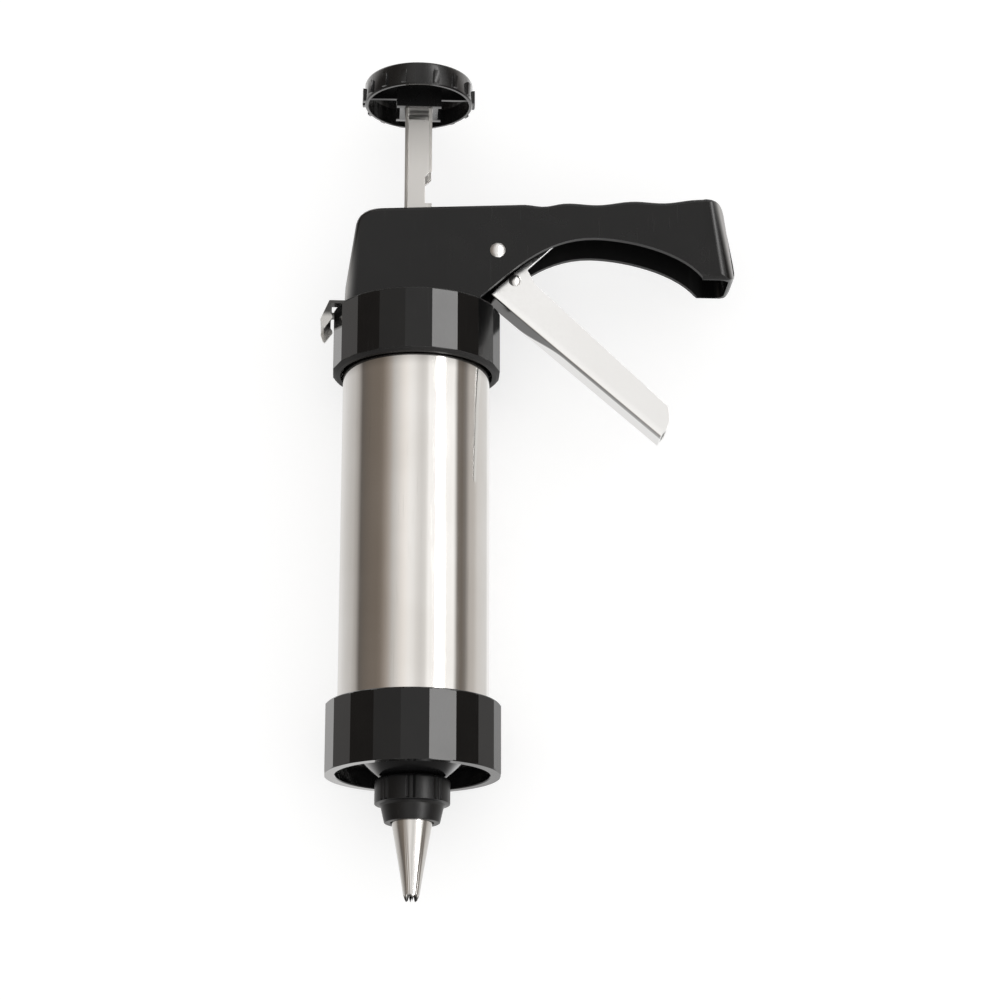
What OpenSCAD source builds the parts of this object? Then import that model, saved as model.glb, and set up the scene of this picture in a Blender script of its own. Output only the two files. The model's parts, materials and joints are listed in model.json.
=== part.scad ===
// Pastry syringe: a cookie press gun with a squeeze lever, a notched rod and two screw collars.
// Lengths in mm. The piece lies on a collar flat: X to the handle, Y up the barrel to the knob,
// Z toward the viewer. Every module is drawn upright (Z up the barrel, near side at -Y) and lie()
// tips it over. Height 0 is the rim of the lower collar.

/* [Barrel] */
// Outside diameter of the tube
barrel_od = 50; // [48:0.5:56]
// Sheet thickness of the tube
barrel_wall = 1; // [0.8:0.1:1.2]
// Height of the lower end of the tube
barrel_low = 12.7; // [12.6:0.1:13.2]
// Height of the upper end of the tube
barrel_high = 154.3; // [152:0.1:154.4]
// Length of the thread band at the lower end
low_band_len = 8; // [5:0.5:10]
// Length of the thread band at the upper end
high_band_len = 13; // [8:0.5:15]
// How far the upper thread band stands out of the tube
high_band_out = 0.6; // [0.4:0.1:0.7]
// How far the lower thread band stands out of the tube
low_band_out = 0.6; // [0.4:0.1:0.7]

/* [Collars] */
// Number of flats round each collar
flats = 20; // [20:1:20]
// Wall of the lower collar round the tube, at the corners of its flats
low_collar_wall = 3.23; // [3:0.05:4]
// Height of the top of the lower collar
low_collar_top = 23.5; // [22:0.5:26]
// Wall of the lower collar round its open mouth
mouth_wall = 3.73; // [3.3:0.05:4]
// Depth of the open mouth below the lip
mouth_depth = 7.5; // [7:0.1:8]
// Thickness of the lip that carries the adapter
lip_t = 2.4; // [1.8:0.1:2.4]
// Wall of the upper collar round the tube, at the corners of its flats
high_collar_wall = 2.83; // [2.6:0.05:3.6]
// Height where the flats of the upper collar start
high_collar_low = 139.2; // [138.8:0.1:140]
// Height of the top of the upper collar
high_collar_top = 160.5; // [160:0.1:160.5]
// Height of the chamfered rim under the upper collar
rim_h = 1.1; // [0.6:0.1:1.5]
// How far the chamfer goes in at that rim
rim_in = 1.4; // [0.8:0.1:1.6]
// Thickness of the top lip of the upper collar
top_lip_t = 2.5; // [2:0.1:2.5]
// Small chamfer on the other collar edges
edge_cut = 0.6; // [0.3:0.1:1]
// Small chamfer at the rim of the lower collar
rim_cut = 0.3; // [0.2:0.05:0.6]

/* [Adapter and nozzle] */
// Radius of the funnel at height 0
funnel_r0 = 11.33; // [11.1:0.05:11.6]
// Height where the cone of the funnel turns straight
funnel_turn_z = 7.27; // [7:0.05:7.5]
// Ledge round the funnel that the tube presses on
ledge_w = 3; // [3:0.1:3.5]
// Thickness of the adapter plate under the tube
adapter_plate_t = 2.4; // [2:0.1:2.5]
// Wall of the funnel
funnel_wall = 1.6; // [1.2:0.1:2]
// Radius of the threaded neck
neck_r = 9.6; // [9.4:0.1:9.7]
// Height of the lower end of the neck
neck_low = -9; // [-9.2:0.1:-8]
// Radius over the grip ribs of the coupler nut
nut_r = 12.4; // [12:0.1:12.6]
// Height of the top of the coupler nut
nut_top = -1.2; // [-2:0.1:-1]
// Height of the foot of the grip ribs
nut_rib_low = -8.7; // [-9.5:0.1:-8]
// Radius where the cone of the nut starts
nut_waist_r = 10.5; // [10.3:0.1:11]
// Height where the cone of the nut starts
nut_cone_top = -10.2; // [-11:0.1:-10]
// Radius of the nut at its lower end
nut_low_r = 9.1; // [8.8:0.1:9.6]
// Height of the lower end of the nut
nut_low = -15.5; // [-16:0.1:-14.5]
// Number of grip ribs round the nut
nut_ribs = 8; // [6:1:10]
// Angle from the side of the viewer to the first grip rib
nut_rib_turn = -3.5; // [-20:0.5:20]
// Angle from the middle of a grip rib to the groove on each side of it
nut_groove_turn = 4.8; // [4:0.1:6]
// Radius of each groove
nut_groove_r = 0.6; // [0.4:0.05:0.8]
// Radius of the nozzle cone where it leaves the nut
nozzle_r = 6.6; // [6.2:0.05:6.7]
// Radius of the nozzle cone above its teeth
nozzle_tip_r = 3; // [2.6:0.05:3.2]
// Height where the nozzle teeth start
nozzle_tooth_top = -38.8; // [-39:0.1:-36]
// Height of the nozzle tip
nozzle_tip = -40.9; // [-44:0.1:-40]
// Radius at the tip of the bent teeth
nozzle_end_r = 2.1; // [1.8:0.1:2.4]
// Sheet thickness of the nozzle
nozzle_wall = 0.5; // [0.4:0.05:0.7]
// Radius of the nozzle flange
nozzle_flange_r = 9.3; // [8.8:0.1:9.5]
// Number of teeth of the nozzle
nozzle_teeth = 6; // [5:1:8]

/* [Housing] */
// Thickness of the housing from side to side
housing_t = 21; // [20.5:0.1:22]
// Wall of the housing
housing_wall = 2; // [1.8:0.1:2.2]
// Rounding of the outer edges
housing_round = 2; // [1.6:0.1:2.2]
// Height of the underside of the housing
housing_low = 160.8; // [160.8:0.1:161]
// Distance of the left edge of the housing from the outside of the upper collar
left_inset = 3.83; // [3.5:0.01:4.2]
// How far that edge leans in up to the top corner
left_lean = 3.5; // [3.2:0.1:3.8]
// Height where the top left corner starts
left_high_z = 190.6; // [190:0.1:191]
// Width of that corner
corner_w = 8.4; // [8:0.1:9]
// Height of the top edge at that start
top_left_z = 196.7; // [196.4:0.1:197]
// Height of the top edge over the first dip
crest_z = 198.95; // [198.7:0.05:199.2]
// Position of the end of the plain top edge
crest_x = 33; // [31:0.5:35]
// Rise of the palm edge for each mm
palm_rise = 0.054; // [0.04:0.002:0.06]
// Middle of the first finger dip
dip_a_x = 43.5; // [43:0.5:44]
// Half width of the first finger dip
dip_a_w = 7.5; // [6:0.5:8]
// Middle of the second finger dip
dip_b_x = 62.5; // [62:0.5:63]
// Middle of the third finger dip
dip_c_x = 85.5; // [85:0.5:86]
// Half width of the second and third finger dips
dip_w = 11.5; // [10:0.5:11.5]
// Depth of the finger dips
dip_d = 0.95; // [0.6:0.05:1.2]
// Right end of the palm edge
palm_end_x = 100.8; // [100.2:0.1:101.2]
// Right end of the handle at its lower tip
hook_x = 109.7; // [109.4:0.1:110.5]
// Height of the lower tip of the handle
hook_z = 172.7; // [172.2:0.1:173]
// Start of the arch at the collar
arch_left_x = 20; // [19.5:0.1:20.5]
// Crown of the arch, position
arch_top_x = 61; // [60:0.5:62]
// Crown of the arch, height
arch_top_z = 186.7; // [186.2:0.1:187]
// Right end of the arch
arch_right_x = 98; // [97.5:0.1:98.5]
// Radius of the vertical rounding at the end of the handle
end_round = 6; // [4:0.1:6.5]
// How far the retaining plate reaches under the lip of the upper collar
collar_hold = 1.4; // [1.2:0.1:2]
// Height of the underside of the boss
boss_low = 157.5; // [157.5:0.1:157.6]
// Depth of the stiffening ribs in the handle
handle_rib_d = 5; // [3:0.5:6]
// Thickness of the stiffening ribs in the handle
handle_rib_t = 1.6; // [1.2:0.1:2]
// Height of the deck over the latch spring
deck_z = 172; // [171.8:0.1:173]
// Thickness of the retaining plate under the boss
base_plate_t = 3; // [2.6:0.1:3]
// Distance of the plate screws from the edge of the boss
screw_in = 5.2; // [4.5:0.1:6]
// Radius of the plate screws
screw_shank_r = 1.25; // [1:0.05:1.4]
// Radius of the plate screw heads
screw_head_r = 2.5; // [2.2:0.1:2.8]

/* [Rod and knob] */
// Half width of the rod across its web
rod_half_x = 4.65; // [4.5:0.05:4.7]
// Half depth of the rod across its flanges
rod_half_y = 4.8; // [4.6:0.05:4.8]
// Sheet thickness of the rod
rod_wall = 1.2; // [1:0.1:1.4]
// Outer radius of the bends of the rod
rod_bend = 1.1; // [0.8:0.1:1.3]
// Height of the lower end of the rod
rod_low = 60.2; // [60.2:0.1:62]
// Height of the upper end of the rod
rod_high = 243.6; // [242:0.1:243.8]
// Pitch of the rack notches
rack_pitch = 11; // [10.9:0.05:11.1]
// Depth of the rack notches
rack_d = 2.35; // [2.1:0.05:2.4]
// Opening of the rack notches at the edge
rack_open = 8.2; // [7.8:0.1:8.4]
// Height of the flat of the top notch
rack_top = 200.7; // [200.5:0.1:200.8]
// Opening of the long end notch
end_notch_open = 12.4; // [11:0.1:13]
// Number of notches of the rack
rack_count = 13; // [12:1:13]
// Height of the groove pressed across the rod under the knob
rod_slot_z = 232.3; // [230:0.1:232.5]
// Width of that groove along the rod
rod_slot_w = 2.2; // [1.4:0.1:2.4]
// Depth of that groove
rod_slot_d = 0.4; // [0.3:0.05:0.6]
// Radius of the knob
knob_r = 18.93; // [18:0.1:20]
// Height of the underside of the knob rim
knob_low = 239.4; // [239:0.1:240]
// Height of the top of the knob
knob_high = 247.9; // [247.4:0.1:249]
// Wall of the knob rim
knob_wall = 1.2; // [1:0.1:1.6]
// Thickness of the top of the knob
knob_top_t = 2.4; // [2.2:0.1:2.8]
// Number of grip ribs on each quarter of the knob
knob_ribs = 4; // [3:1:4]
// Angle from the side of the viewer to the first grip rib
knob_rib_turn = 17; // [15:0.5:18]
// Angle from one grip rib to the next
knob_rib_step = 22.5; // [21:0.5:22.5]
// Width of each grip rib
knob_rib_w = 1.8; // [1.2:0.1:2.2]
// How far each grip rib stands out
knob_rib_out = 0.87; // [0.5:0.05:1.1]
// Height of the lower end of the grip ribs
knob_rib_low = 239.9; // [239.8:0.1:240.6]
// Height of the upper end of the grip ribs
knob_rib_high = 244.6; // [244:0.1:246]
// Wall of the rod socket of the knob, left and right
socket_wall_x = 3.15; // [2.8:0.05:3.4]
// Wall of the rod socket of the knob, near and far
socket_wall_y = 1.6; // [1.4:0.1:2]
// Height of the underside of the rod socket
socket_low = 236.6; // [236:0.1:237]

/* [Piston] */
// Height of the pressing face of the piston
piston_low = 47.5; // [47:0.1:48]
// Gap between the piston disc and the tube
piston_play = 0.8; // [0.6:0.1:1.2]
// Gap between the rubber seal and the tube
seal_play = 0.25; // [0.2:0.05:0.4]
// Depth of the groove that the seal sits in
seal_groove = 4.2; // [3.6:0.1:4.6]
// Thickness of the lower plate of the piston
piston_plate_t = 2.4; // [2:0.1:2.6]
// Height of the rubber seal
seal_h = 5.5; // [4.5:0.1:5.8]
// Radius of the piston screw
piston_screw_r = 2; // [1.8:0.1:2.2]
// Length of the piston screw
piston_screw_len = 19; // [17:0.5:20]
// Radius of the piston screw head
piston_head_r = 3.8; // [3.4:0.1:4.2]
// Radius of the hub where the rod stands on the piston
hub_r = 8; // [7:0.1:9]
// Height of the hub over the rubber seal
hub_rise = 2.6; // [2.4:0.1:3]
// Height of the block inside the foot of the rod
foot_block_h = 11.9; // [10:0.1:12]

/* [Lever] */
// Height of the pivot rivet
pivot_z = 181.41; // [181.3:0.01:181.5]
// Lever rivet, right of the pivot
rivet_x = 6.2; // [6:0.01:6.4]
// Lever rivet, above the pivot
rivet_z = -8.91; // [-9.1:0.01:-8.7]
// Outside width of the lever channel
lever_w = 10; // [9.8:0.1:10.2]
// Sheet thickness of the lever
lever_wall = 1.2; // [1:0.1:1.2]
// Web end of the lever root, right of the pivot
root_x = -2.16; // [-2.33:0.01:-1.93]
// Web end of the lever root, above the pivot
root_z = -14.25; // [-14.41:0.01:-14.01]
// Open end of the lever root, right of the pivot
root_top_x = 9.49; // [9.27:0.01:9.67]
// Open end of the lever root, above the pivot
root_top_z = -2.92; // [-3.11:0.01:-2.71]
// Shoulder of the lever flange, right of the pivot
shoulder_x = 13.24; // [12.97:0.01:13.47]
// Shoulder of the lever flange, above the pivot
shoulder_z = -10.15; // [-10.41:0.01:-9.91]
// Open corner of the finger end, right of the pivot
finger_x = 58.48; // [58.17:0.01:58.87]
// Open corner of the finger end, above the pivot
finger_z = -53.77; // [-54.11:0.01:-53.41]
// Web corner of the finger end, right of the pivot
heel_x = 55.5; // [55.17:0.01:55.77]
// Web corner of the finger end, above the pivot
heel_z = -64.62; // [-64.91:0.01:-64.31]
// Tip of the stop horn at the lever root, right of the pivot
horn_x = 19.57; // [19.07:0.01:19.67]
// Tip of the stop horn at the lever root, above the pivot
horn_z = 3.99; // [3.59:0.01:4.09]
// Radius of the shank of the pivot rivet
pivot_r = 1.8; // [1.6:0.05:2]
// Radius of the bosses round the pivot inside the housing
pivot_boss_r = 4; // [3.5:0.1:4.2]
// Radius of the round head of the pivot rivet
pivot_head_r = 2.65; // [2.4:0.05:2.9]
// Radius of the shank of the lever rivet
rivet_r = 1.5; // [1.3:0.05:1.7]
// Radius of the round head of the lever rivet
rivet_head_r = 2.15; // [2:0.05:2.4]

/* [Drive] */
// Length of the drive arm from pivot to pin
arm_len = 18.8; // [18.7:0.05:18.9]
// Angle of the drive arm above level with the lever released
arm_angle = 13; // [12.8:0.1:13.2]
// Angle through which the lever is squeezed
lever_turn = 34; // [30:0.5:34]
// Thickness of the drive arm plates
arm_t = 1.2; // [1:0.1:1.2]
// Radius of the drive arms round the pivot
arm_eye_r = 3.6; // [3.2:0.1:4]
// Half gap between the drive arm plates
arm_gap = 2.5; // [2.4:0.05:2.5]
// Radius of the drive pin
pin_r = 1.5; // [1.4:0.05:1.5]
// Gap between the resting pawl and the drive pin
pin_gap = 0.51; // [0.5:0.01:0.6]
// Length of the leg of the return spring toward the lever
spring_leg = 14.5; // [12:0.5:15]
// Length of the leg of the return spring toward the housing
spring_foot = 10.5; // [9:0.5:11]
// Sheet thickness of the yoke
yoke_t = 1.2; // [1:0.1:1.2]
// Half gap between the sides of the yoke
yoke_gap = 5.4; // [5.35:0.05:5.45]
// Height of the lower edge of the yoke
yoke_low = 182.2; // [182:0.1:182.6]
// Height of the upper edge of the yoke
yoke_high = 192.4; // [192:0.1:192.6]
// Metal beside the slots of the yoke
yoke_edge = 1.6; // [1.5:0.1:2]
// Distance of the pawl hinge from the face of the resting pawl
pawl_hinge_in = 3.05; // [2.95:0.05:3.15]
// Height of the pawl hinge
pawl_z = 190; // [189.9:0.05:190.1]
// Radius of the pawl hinge pin
pawl_pin_r = 1; // [0.9:0.05:1]
// Gap between the rack edge and the resting pawl
pawl_gap = 0.5; // [0.45:0.05:0.6]
// Thickness of the pawl tip
pawl_tip_t = 1.85; // [1.6:0.05:1.9]

/* [Latch] */
// Sheet thickness of the latch
latch_t = 1.1; // [1:0.1:1.2]
// Half width of the latch strap
latch_half_y = 8; // [7.6:0.1:8.1]
// Height of the underside of the strap
latch_z = 161.7; // [161.65:0.05:161.8]
// Gap between the upper collar and the bend of the strap
latch_gap = 1.27; // [1:0.01:1.6]
// How far the knee of the thumb tab stands out from the bend
tab_knee_out = 2.5; // [2:0.1:3]
// Height of the knee of the thumb tab
tab_knee_z = 155.8; // [155:0.1:156.4]
// How far the tip of the thumb tab stands out from the bend
tab_tip_out = 1.5; // [1.4:0.05:2]
// Height of the tip of the thumb tab
tab_tip_z = 152.8; // [151.5:0.1:153]
// Distance of the latch pin from the left edge of the housing
latch_pin_in = 5.4; // [5.1:0.1:5.7]
// Height of the latch pin
latch_pin_z = 164.9; // [164.7:0.1:165]
// Radius of the latch pin
latch_pin_r = 1.2; // [1:0.05:1.25]

/* [Fits] */
// Radial play of the screw joints
screw_play = 0.3; // [0.25:0.01:0.35]
// Radial play of the hinge pins
pin_play = 0.05; // [0.03:0.01:0.08]
// Play of the drive pin in the slots of the yoke
slot_play = 0.15; // [0.1:0.01:0.2]
// Play round the rod in its guides
rod_play = 0.4; // [0.3:0.05:0.5]
// Gap between stacked faces that turn
face_play = 0.1; // [0.08:0.01:0.15]

/* [Hidden] */
fine = 96;
small = 32;
eps = 0.05;
barrel_r = barrel_od / 2;
bore_r = barrel_r - barrel_wall;
low_bore_r = barrel_r + low_band_out + screw_play;
high_bore_r = barrel_r + high_band_out + screw_play;
low_collar_r = low_bore_r + low_collar_wall;
high_collar_r = high_bore_r + high_collar_wall;
mouth_r = low_collar_r - mouth_wall;
funnel_top_r = bore_r - ledge_w;
left_low_x = left_inset - high_collar_r;
left_high_x = left_low_x + left_lean;
top_left_x = left_high_x + corner_w;
latch_bend_x = -high_collar_r - latch_gap;
tab_knee_x = latch_bend_x - tab_knee_out;
tab_tip_x = latch_bend_x - tab_tip_out;
latch_pin_x = left_low_x + latch_pin_in;
base_plate_r = high_bore_r - screw_play;
boss_r = base_plate_r - collar_hold;
screw_r = boss_r - screw_in;
piston_r = bore_r - piston_play;
seal_r = bore_r - seal_play;
seal_seat_r = piston_r - seal_groove;
lip_top = mouth_depth + lip_t;
adapter_low = lip_top + face_play;
adapter_high = adapter_low + adapter_plate_t;
passage_r = neck_r - funnel_wall;
nut_bore_r = neck_r + screw_play;
flange_top = neck_low - 0.3;
flange_low = flange_top - 1;
nozzle_fall = (nozzle_r - nozzle_tip_r) / (nut_low - 0.5 - nozzle_tooth_top);
nozzle_flange_cone_r = nozzle_r + nozzle_fall * (flange_low - nut_low + 0.5);
nut_hole_low_r = nozzle_r + 0.3;
nut_hole_high_r = nozzle_flange_cone_r + 0.3;
base_plate_low = boss_low - base_plate_t;
rod_hole_x = rod_half_x + rod_play;
rod_hole_y = rod_half_y + rod_play;
floor_z = housing_low + 0.4;
inner_half = housing_t / 2 - housing_wall;
web_len = norm([heel_x - root_x, heel_z - root_z]);
web_ux = (heel_x - root_x) / web_len;
web_uz = (heel_z - root_z) / web_len;
pawl_left = rod_half_x + pawl_gap;
pawl_x = pawl_left + pawl_hinge_in;
pin_x = pawl_left + pawl_tip_t + pin_gap + pin_r;
pin_z = pivot_z + arm_len * sin(arm_angle);
pivot_x = pin_x + arm_len * cos(arm_angle);
piston_plate_top = piston_low + piston_plate_t;
seal_top = piston_plate_top + face_play + seal_h;
hub_top = seal_top + hub_rise;
rod_hub_top = rod_low - face_play;
socket_half_x = rod_half_x + socket_wall_x;
socket_half_y = rod_half_y + socket_wall_y;
palm_end_z = crest_z + palm_rise * (palm_end_x - crest_x) + 0.15;
latch_pin_half = inner_half + 1.1;
yoke_pin_half = yoke_gap + yoke_t + 0.3;
notch_z = rack_top - 2 * rack_pitch;
slot_left = pivot_x - arm_len;
slot_right = pivot_x - arm_len * cos(lever_turn - arm_angle);
yoke_left = -rod_half_x - 2.55;
yoke_right = slot_right + pin_r + 2 * slot_play + yoke_edge;
through = yoke_pin_half + 1;

// tips an upright piece over on to the collar flat
module lie() {
    rotate([-90, 0, 0]) children();
}

// plate in the upright XZ plane, from y0 to y1
module plate(y0, y1) {
    translate([0, y1, 0]) rotate([90, 0, 0]) linear_extrude(y1 - y0) children();
}

// round bar along the upright Y axis
module bar(x, z, r, y0, y1, sides = small) {
    translate([x, y1, z]) rotate([90, 0, 0]) cylinder(r = r, h = y1 - y0, $fn = sides);
}

// upright box between two corners
module block(x0, x1, y0, y1, z0, z1) {
    translate([x0, y0, z0]) cube([x1 - x0, y1 - y0, z1 - z0]);
}

// regular outline with one flat toward the viewer
module flats_outline(r) {
    polygon([for (i = [0:flats - 1]) let (a = 180 / flats * (2 * i + 1) - 90) r * [cos(a), sin(a)]]);
}

module barrel() {
    high_r = barrel_r + high_band_out;
    low_r = barrel_r + low_band_out;
    color("silver") lie() rotate_extrude($fn = fine)
        polygon([[bore_r, barrel_low], [low_r, barrel_low], [low_r, barrel_low + low_band_len],
                 [barrel_r, barrel_low + low_band_len + low_band_out],
                 [barrel_r, barrel_high - high_band_len - high_band_out],
                 [high_r, barrel_high - high_band_len], [high_r, barrel_high],
                 [bore_r, barrel_high]]);
}

module upper_collar() {
    low = high_collar_low - rim_h;
    top = high_collar_top;
    color("dimgray") lie() difference() {
        intersection() {
            translate([0, 0, low]) linear_extrude(top - low) flats_outline(high_collar_r);
            rotate_extrude($fn = fine)
                polygon([[0, low], [high_collar_r - rim_in, low], [high_collar_r, high_collar_low],
                         [high_collar_r, top - edge_cut], [high_collar_r - edge_cut, top],
                         [0, top]]);
        }
        translate([0, 0, low - 1])
            cylinder(r = high_bore_r, h = top - top_lip_t - low + 1, $fn = fine);
        translate([0, 0, top - top_lip_t - eps])
            cylinder(r = boss_r + screw_play, h = top_lip_t + 1, $fn = fine);
    }
}

module lower_collar() {
    top = low_collar_top;
    r = low_collar_r;
    color("dimgray") lie() difference() {
        intersection() {
            linear_extrude(top) flats_outline(r);
            rotate_extrude($fn = fine)
                polygon([[0, 0], [r - rim_cut, 0], [r, rim_cut], [r, top - edge_cut],
                         [r - edge_cut, top], [0, top]]);
        }
        rotate_extrude($fn = fine)
            polygon([[0, -1], [mouth_r + 1 + rim_cut, -1], [mouth_r, rim_cut],
                     [mouth_r, mouth_depth], [0, mouth_depth]]);
        translate([0, 0, mouth_depth - eps])
            cylinder(r = funnel_top_r + 0.35, h = lip_t + 1, $fn = fine);
        translate([0, 0, lip_top]) cylinder(r = low_bore_r, h = top - lip_top + 1, $fn = fine);
    }
}

module nozzle_adapter() {
    plate_r = low_bore_r - 0.35;
    in_top_r = funnel_top_r - funnel_wall;
    in_turn_z = funnel_turn_z + 0.8;
    color("gray") lie() rotate_extrude($fn = fine)
        polygon([[passage_r, neck_low], [neck_r, neck_low], [neck_r, -0.6], [funnel_r0, 0],
                 [funnel_top_r, funnel_turn_z], [funnel_top_r, adapter_low],
                 [plate_r, adapter_low], [plate_r, adapter_high], [in_top_r, adapter_high],
                 [in_top_r, in_turn_z], [passage_r, 0.6]]);
}

module coupler_nut() {
    color("dimgray") lie() difference() {
        union() {
            translate([0, 0, nut_rib_low]) linear_extrude(nut_top - nut_rib_low) difference() {
                circle(r = nut_r, $fn = fine);
                for (i = [0:nut_ribs - 1], side = [-1, 1])
                    rotate(nut_rib_turn - 90 + 360 / nut_ribs * i + nut_groove_turn * side)
                        translate([nut_r + 0.15, 0]) circle(r = nut_groove_r, $fn = small);
            }
            rotate_extrude($fn = fine)
                polygon([[0, nut_low], [nut_low_r, nut_low], [nut_waist_r, nut_cone_top],
                         [nut_r - 0.5, nut_rib_low + eps], [0, nut_rib_low + eps]]);
        }
        translate([0, 0, flange_low - 0.15])
            cylinder(r = nut_bore_r, h = nut_top - flange_low + 1, $fn = fine);
        translate([0, 0, nut_low - eps]) cylinder(r1 = nut_hole_low_r, r2 = nut_hole_high_r,
            h = flange_low - nut_low, $fn = fine);
    }
}

module nozzle() {
    wall = nozzle_wall;
    cone_r = nozzle_flange_cone_r;
    color("silver") lie() difference() {
        rotate_extrude($fn = fine)
            polygon([[cone_r - wall, flange_top], [nozzle_flange_r, flange_top],
                     [nozzle_flange_r, flange_low], [cone_r, flange_low],
                     [nozzle_tip_r, nozzle_tooth_top], [nozzle_end_r, nozzle_tip],
                     [nozzle_end_r - wall, nozzle_tip], [nozzle_tip_r - wall, nozzle_tooth_top]]);
        for (i = [0:nozzle_teeth - 1]) rotate(360 / nozzle_teeth * i)
            translate([0, 0, nozzle_tip - 0.5]) rotate([90, 0, 90]) linear_extrude(8)
                polygon([[-0.75, 0], [0.75, 0], [0.05, nozzle_tooth_top - nozzle_tip + 0.7],
                         [-0.05, nozzle_tooth_top - nozzle_tip + 0.7]]);
    }
}

// depth of a finger dip with its middle at c and half width w
function dip(x, c, w) = abs(x - c) < w ? dip_d * (1 + cos(180 * (x - c) / w)) / 2 : 0;

// height of the palm edge at x
function palm(x) = crest_z + palm_rise * (x - crest_x) - dip(x, dip_a_x, dip_a_w)
    - dip(x, dip_b_x, dip_w) - dip(x, dip_c_x, dip_w);

// point of a cubic curve with four control points
function curve(a, b, c, d, t) = pow(1 - t, 3) * a + 3 * t * pow(1 - t, 2) * b
    + 3 * t * t * (1 - t) * c + pow(t, 3) * d;

// point between a and b, with its own share of the way in each direction
function mix(a, b, share_x, share_z) = [a.x + (b.x - a.x) * share_x, a.y + (b.y - a.y) * share_z];

// side view of the housing before the arch is cut
module housing_outline() {
    corner = [for (i = [0:6]) curve([left_high_x, left_high_z], [left_high_x + 0.7, left_high_z + 3.8],
        [top_left_x - 4.4, top_left_z - 0.2], [top_left_x, top_left_z], i / 6)];
    top = [for (i = [0:34]) let (x = crest_x + (palm_end_x - crest_x - 2) * i / 34) [x, palm(x)]];
    right = [for (i = [0:6]) curve([palm_end_x - 1, palm_end_z], [palm_end_x + 3.4, palm_end_z],
        [palm_end_x + 5.6, palm_end_z - 3.3], [palm_end_x + 6, palm_end_z - 7.8], i / 6)];
    tip = [for (i = [0:4]) curve([hook_x, hook_z + 4], [hook_x, hook_z + 1.4],
        [hook_x - 1.2, hook_z], [hook_x - 3.4, hook_z], i / 4)];
    polygon(concat([[left_low_x, housing_low], [left_low_x + 0.2, housing_low + 6.2]],
        corner, top, right, [[hook_x - 0.4, hook_z + 7.3]], tip,
        [[arch_right_x, hook_z], [arch_left_x + 4, housing_low]]));
}

// hollow under the handle, open at the bottom
module arch_outline() {
    crown = [arch_top_x, arch_top_z];
    foot = [arch_left_x + 1.5, housing_low + 3.8];
    tip = [arch_right_x, hook_z + 0.6];
    rise = [for (i = [0:16]) curve(foot, mix(foot, crown, 0.239, 0.35), mix(foot, crown, 0.534, 1),
        crown, i / 16)];
    fall = [for (i = [1:14]) curve(crown, mix(tip, crown, 0.69, 1), mix(tip, crown, 0.194, 0.694),
        tip, i / 14)];
    polygon(concat(rise, fall, [[arch_right_x, hook_z - 12], [arch_left_x, housing_low - 12],
        [arch_left_x, floor_z]]));
}

// cutter that rounds the upright edges at the end of the handle, or with the wall as inset
// those of its hollow
module end_cutter(inset) {
    half = housing_t / 2 - inset;
    r = end_round - inset;
    lean = atan2(hook_x - palm_end_x - 6, palm_end_z - 7.8 - hook_z);
    translate([hook_x - inset, 0, hook_z]) rotate([0, -lean, 0]) for (s = [-1, 1])
        translate([-r, s * (half - r), -10]) linear_extrude(50) difference() {
            translate([0, s > 0 ? 0 : -r - 2]) square(r + 2);
            circle(r = r, $fn = small);
        }
}

// full round shell with its hollow, its open underside and its open tip
module housing_shell() {
    half = housing_t / 2;
    rr = housing_round;
    difference() {
        minkowski() {
            plate(rr - half, half - rr) offset(delta = -rr) housing_outline();
            sphere(r = rr, $fn = 16);
        }
        difference() {
            union() {
                plate(-inner_half, inner_half) offset(delta = -housing_wall) housing_outline();
                block(arch_right_x - 6, hook_x - housing_wall - 0.4, -inner_half, inner_half,
                    hook_z - 1, hook_z + housing_wall + 1.5);
            }
            end_cutter(housing_wall);
        }
        plate(-half - 1, half + 1) arch_outline();
        end_cutter(0);
    }
}

module housing() {
    half = housing_t / 2;
    inside = inner_half + eps;
    rib_x = [(dip_a_x + dip_b_x - 2) / 2, (dip_b_x + dip_c_x) / 2, dip_c_x + dip_w - 1];
    color("dimgray") lie() difference() {
        union() {
            housing_shell();
            translate([0, 0, boss_low]) cylinder(r = boss_r, h = floor_z - boss_low, $fn = fine);
            for (s = [-1, 1]) bar(pivot_x, pivot_z, pivot_boss_r,
                s > 0 ? arm_gap + arm_t + 0.3 : -inside, s > 0 ? inside : -arm_gap - arm_t - 0.3);
            block(left_low_x + 1.5, yoke_left - 3.3, -inside, inside, deck_z, deck_z + handle_rib_t);
            for (x = rib_x) block(x, x + handle_rib_t, -inside, inside,
                palm(x) - housing_wall - handle_rib_d, palm(x) - housing_wall + 0.2);
        }
        block(left_low_x + housing_wall + 0.1, arch_left_x - 2, -inner_half, inner_half, floor_z,
            floor_z + 3);
        for (z = [boss_low - 1, top_left_z - housing_wall - 3])
            block(-rod_hole_x, rod_hole_x, -rod_hole_y, rod_hole_y, z, z + floor_z - boss_low + 5);
        block(left_low_x - 3, left_low_x + 4, -latch_half_y - 0.3, latch_half_y + 0.3, floor_z,
            floor_z + 3.4);
        bar(pivot_x, pivot_z, pivot_r, -half - 1, half + 1);
        bar(latch_pin_x, latch_pin_z, latch_pin_r, -latch_pin_half, latch_pin_half);
        for (i = [0:3]) rotate(45 + 90 * i) translate([screw_r, 0, boss_low - 1])
            cylinder(r = screw_shank_r, h = floor_z - boss_low + 2, $fn = small);
    }
}

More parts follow.
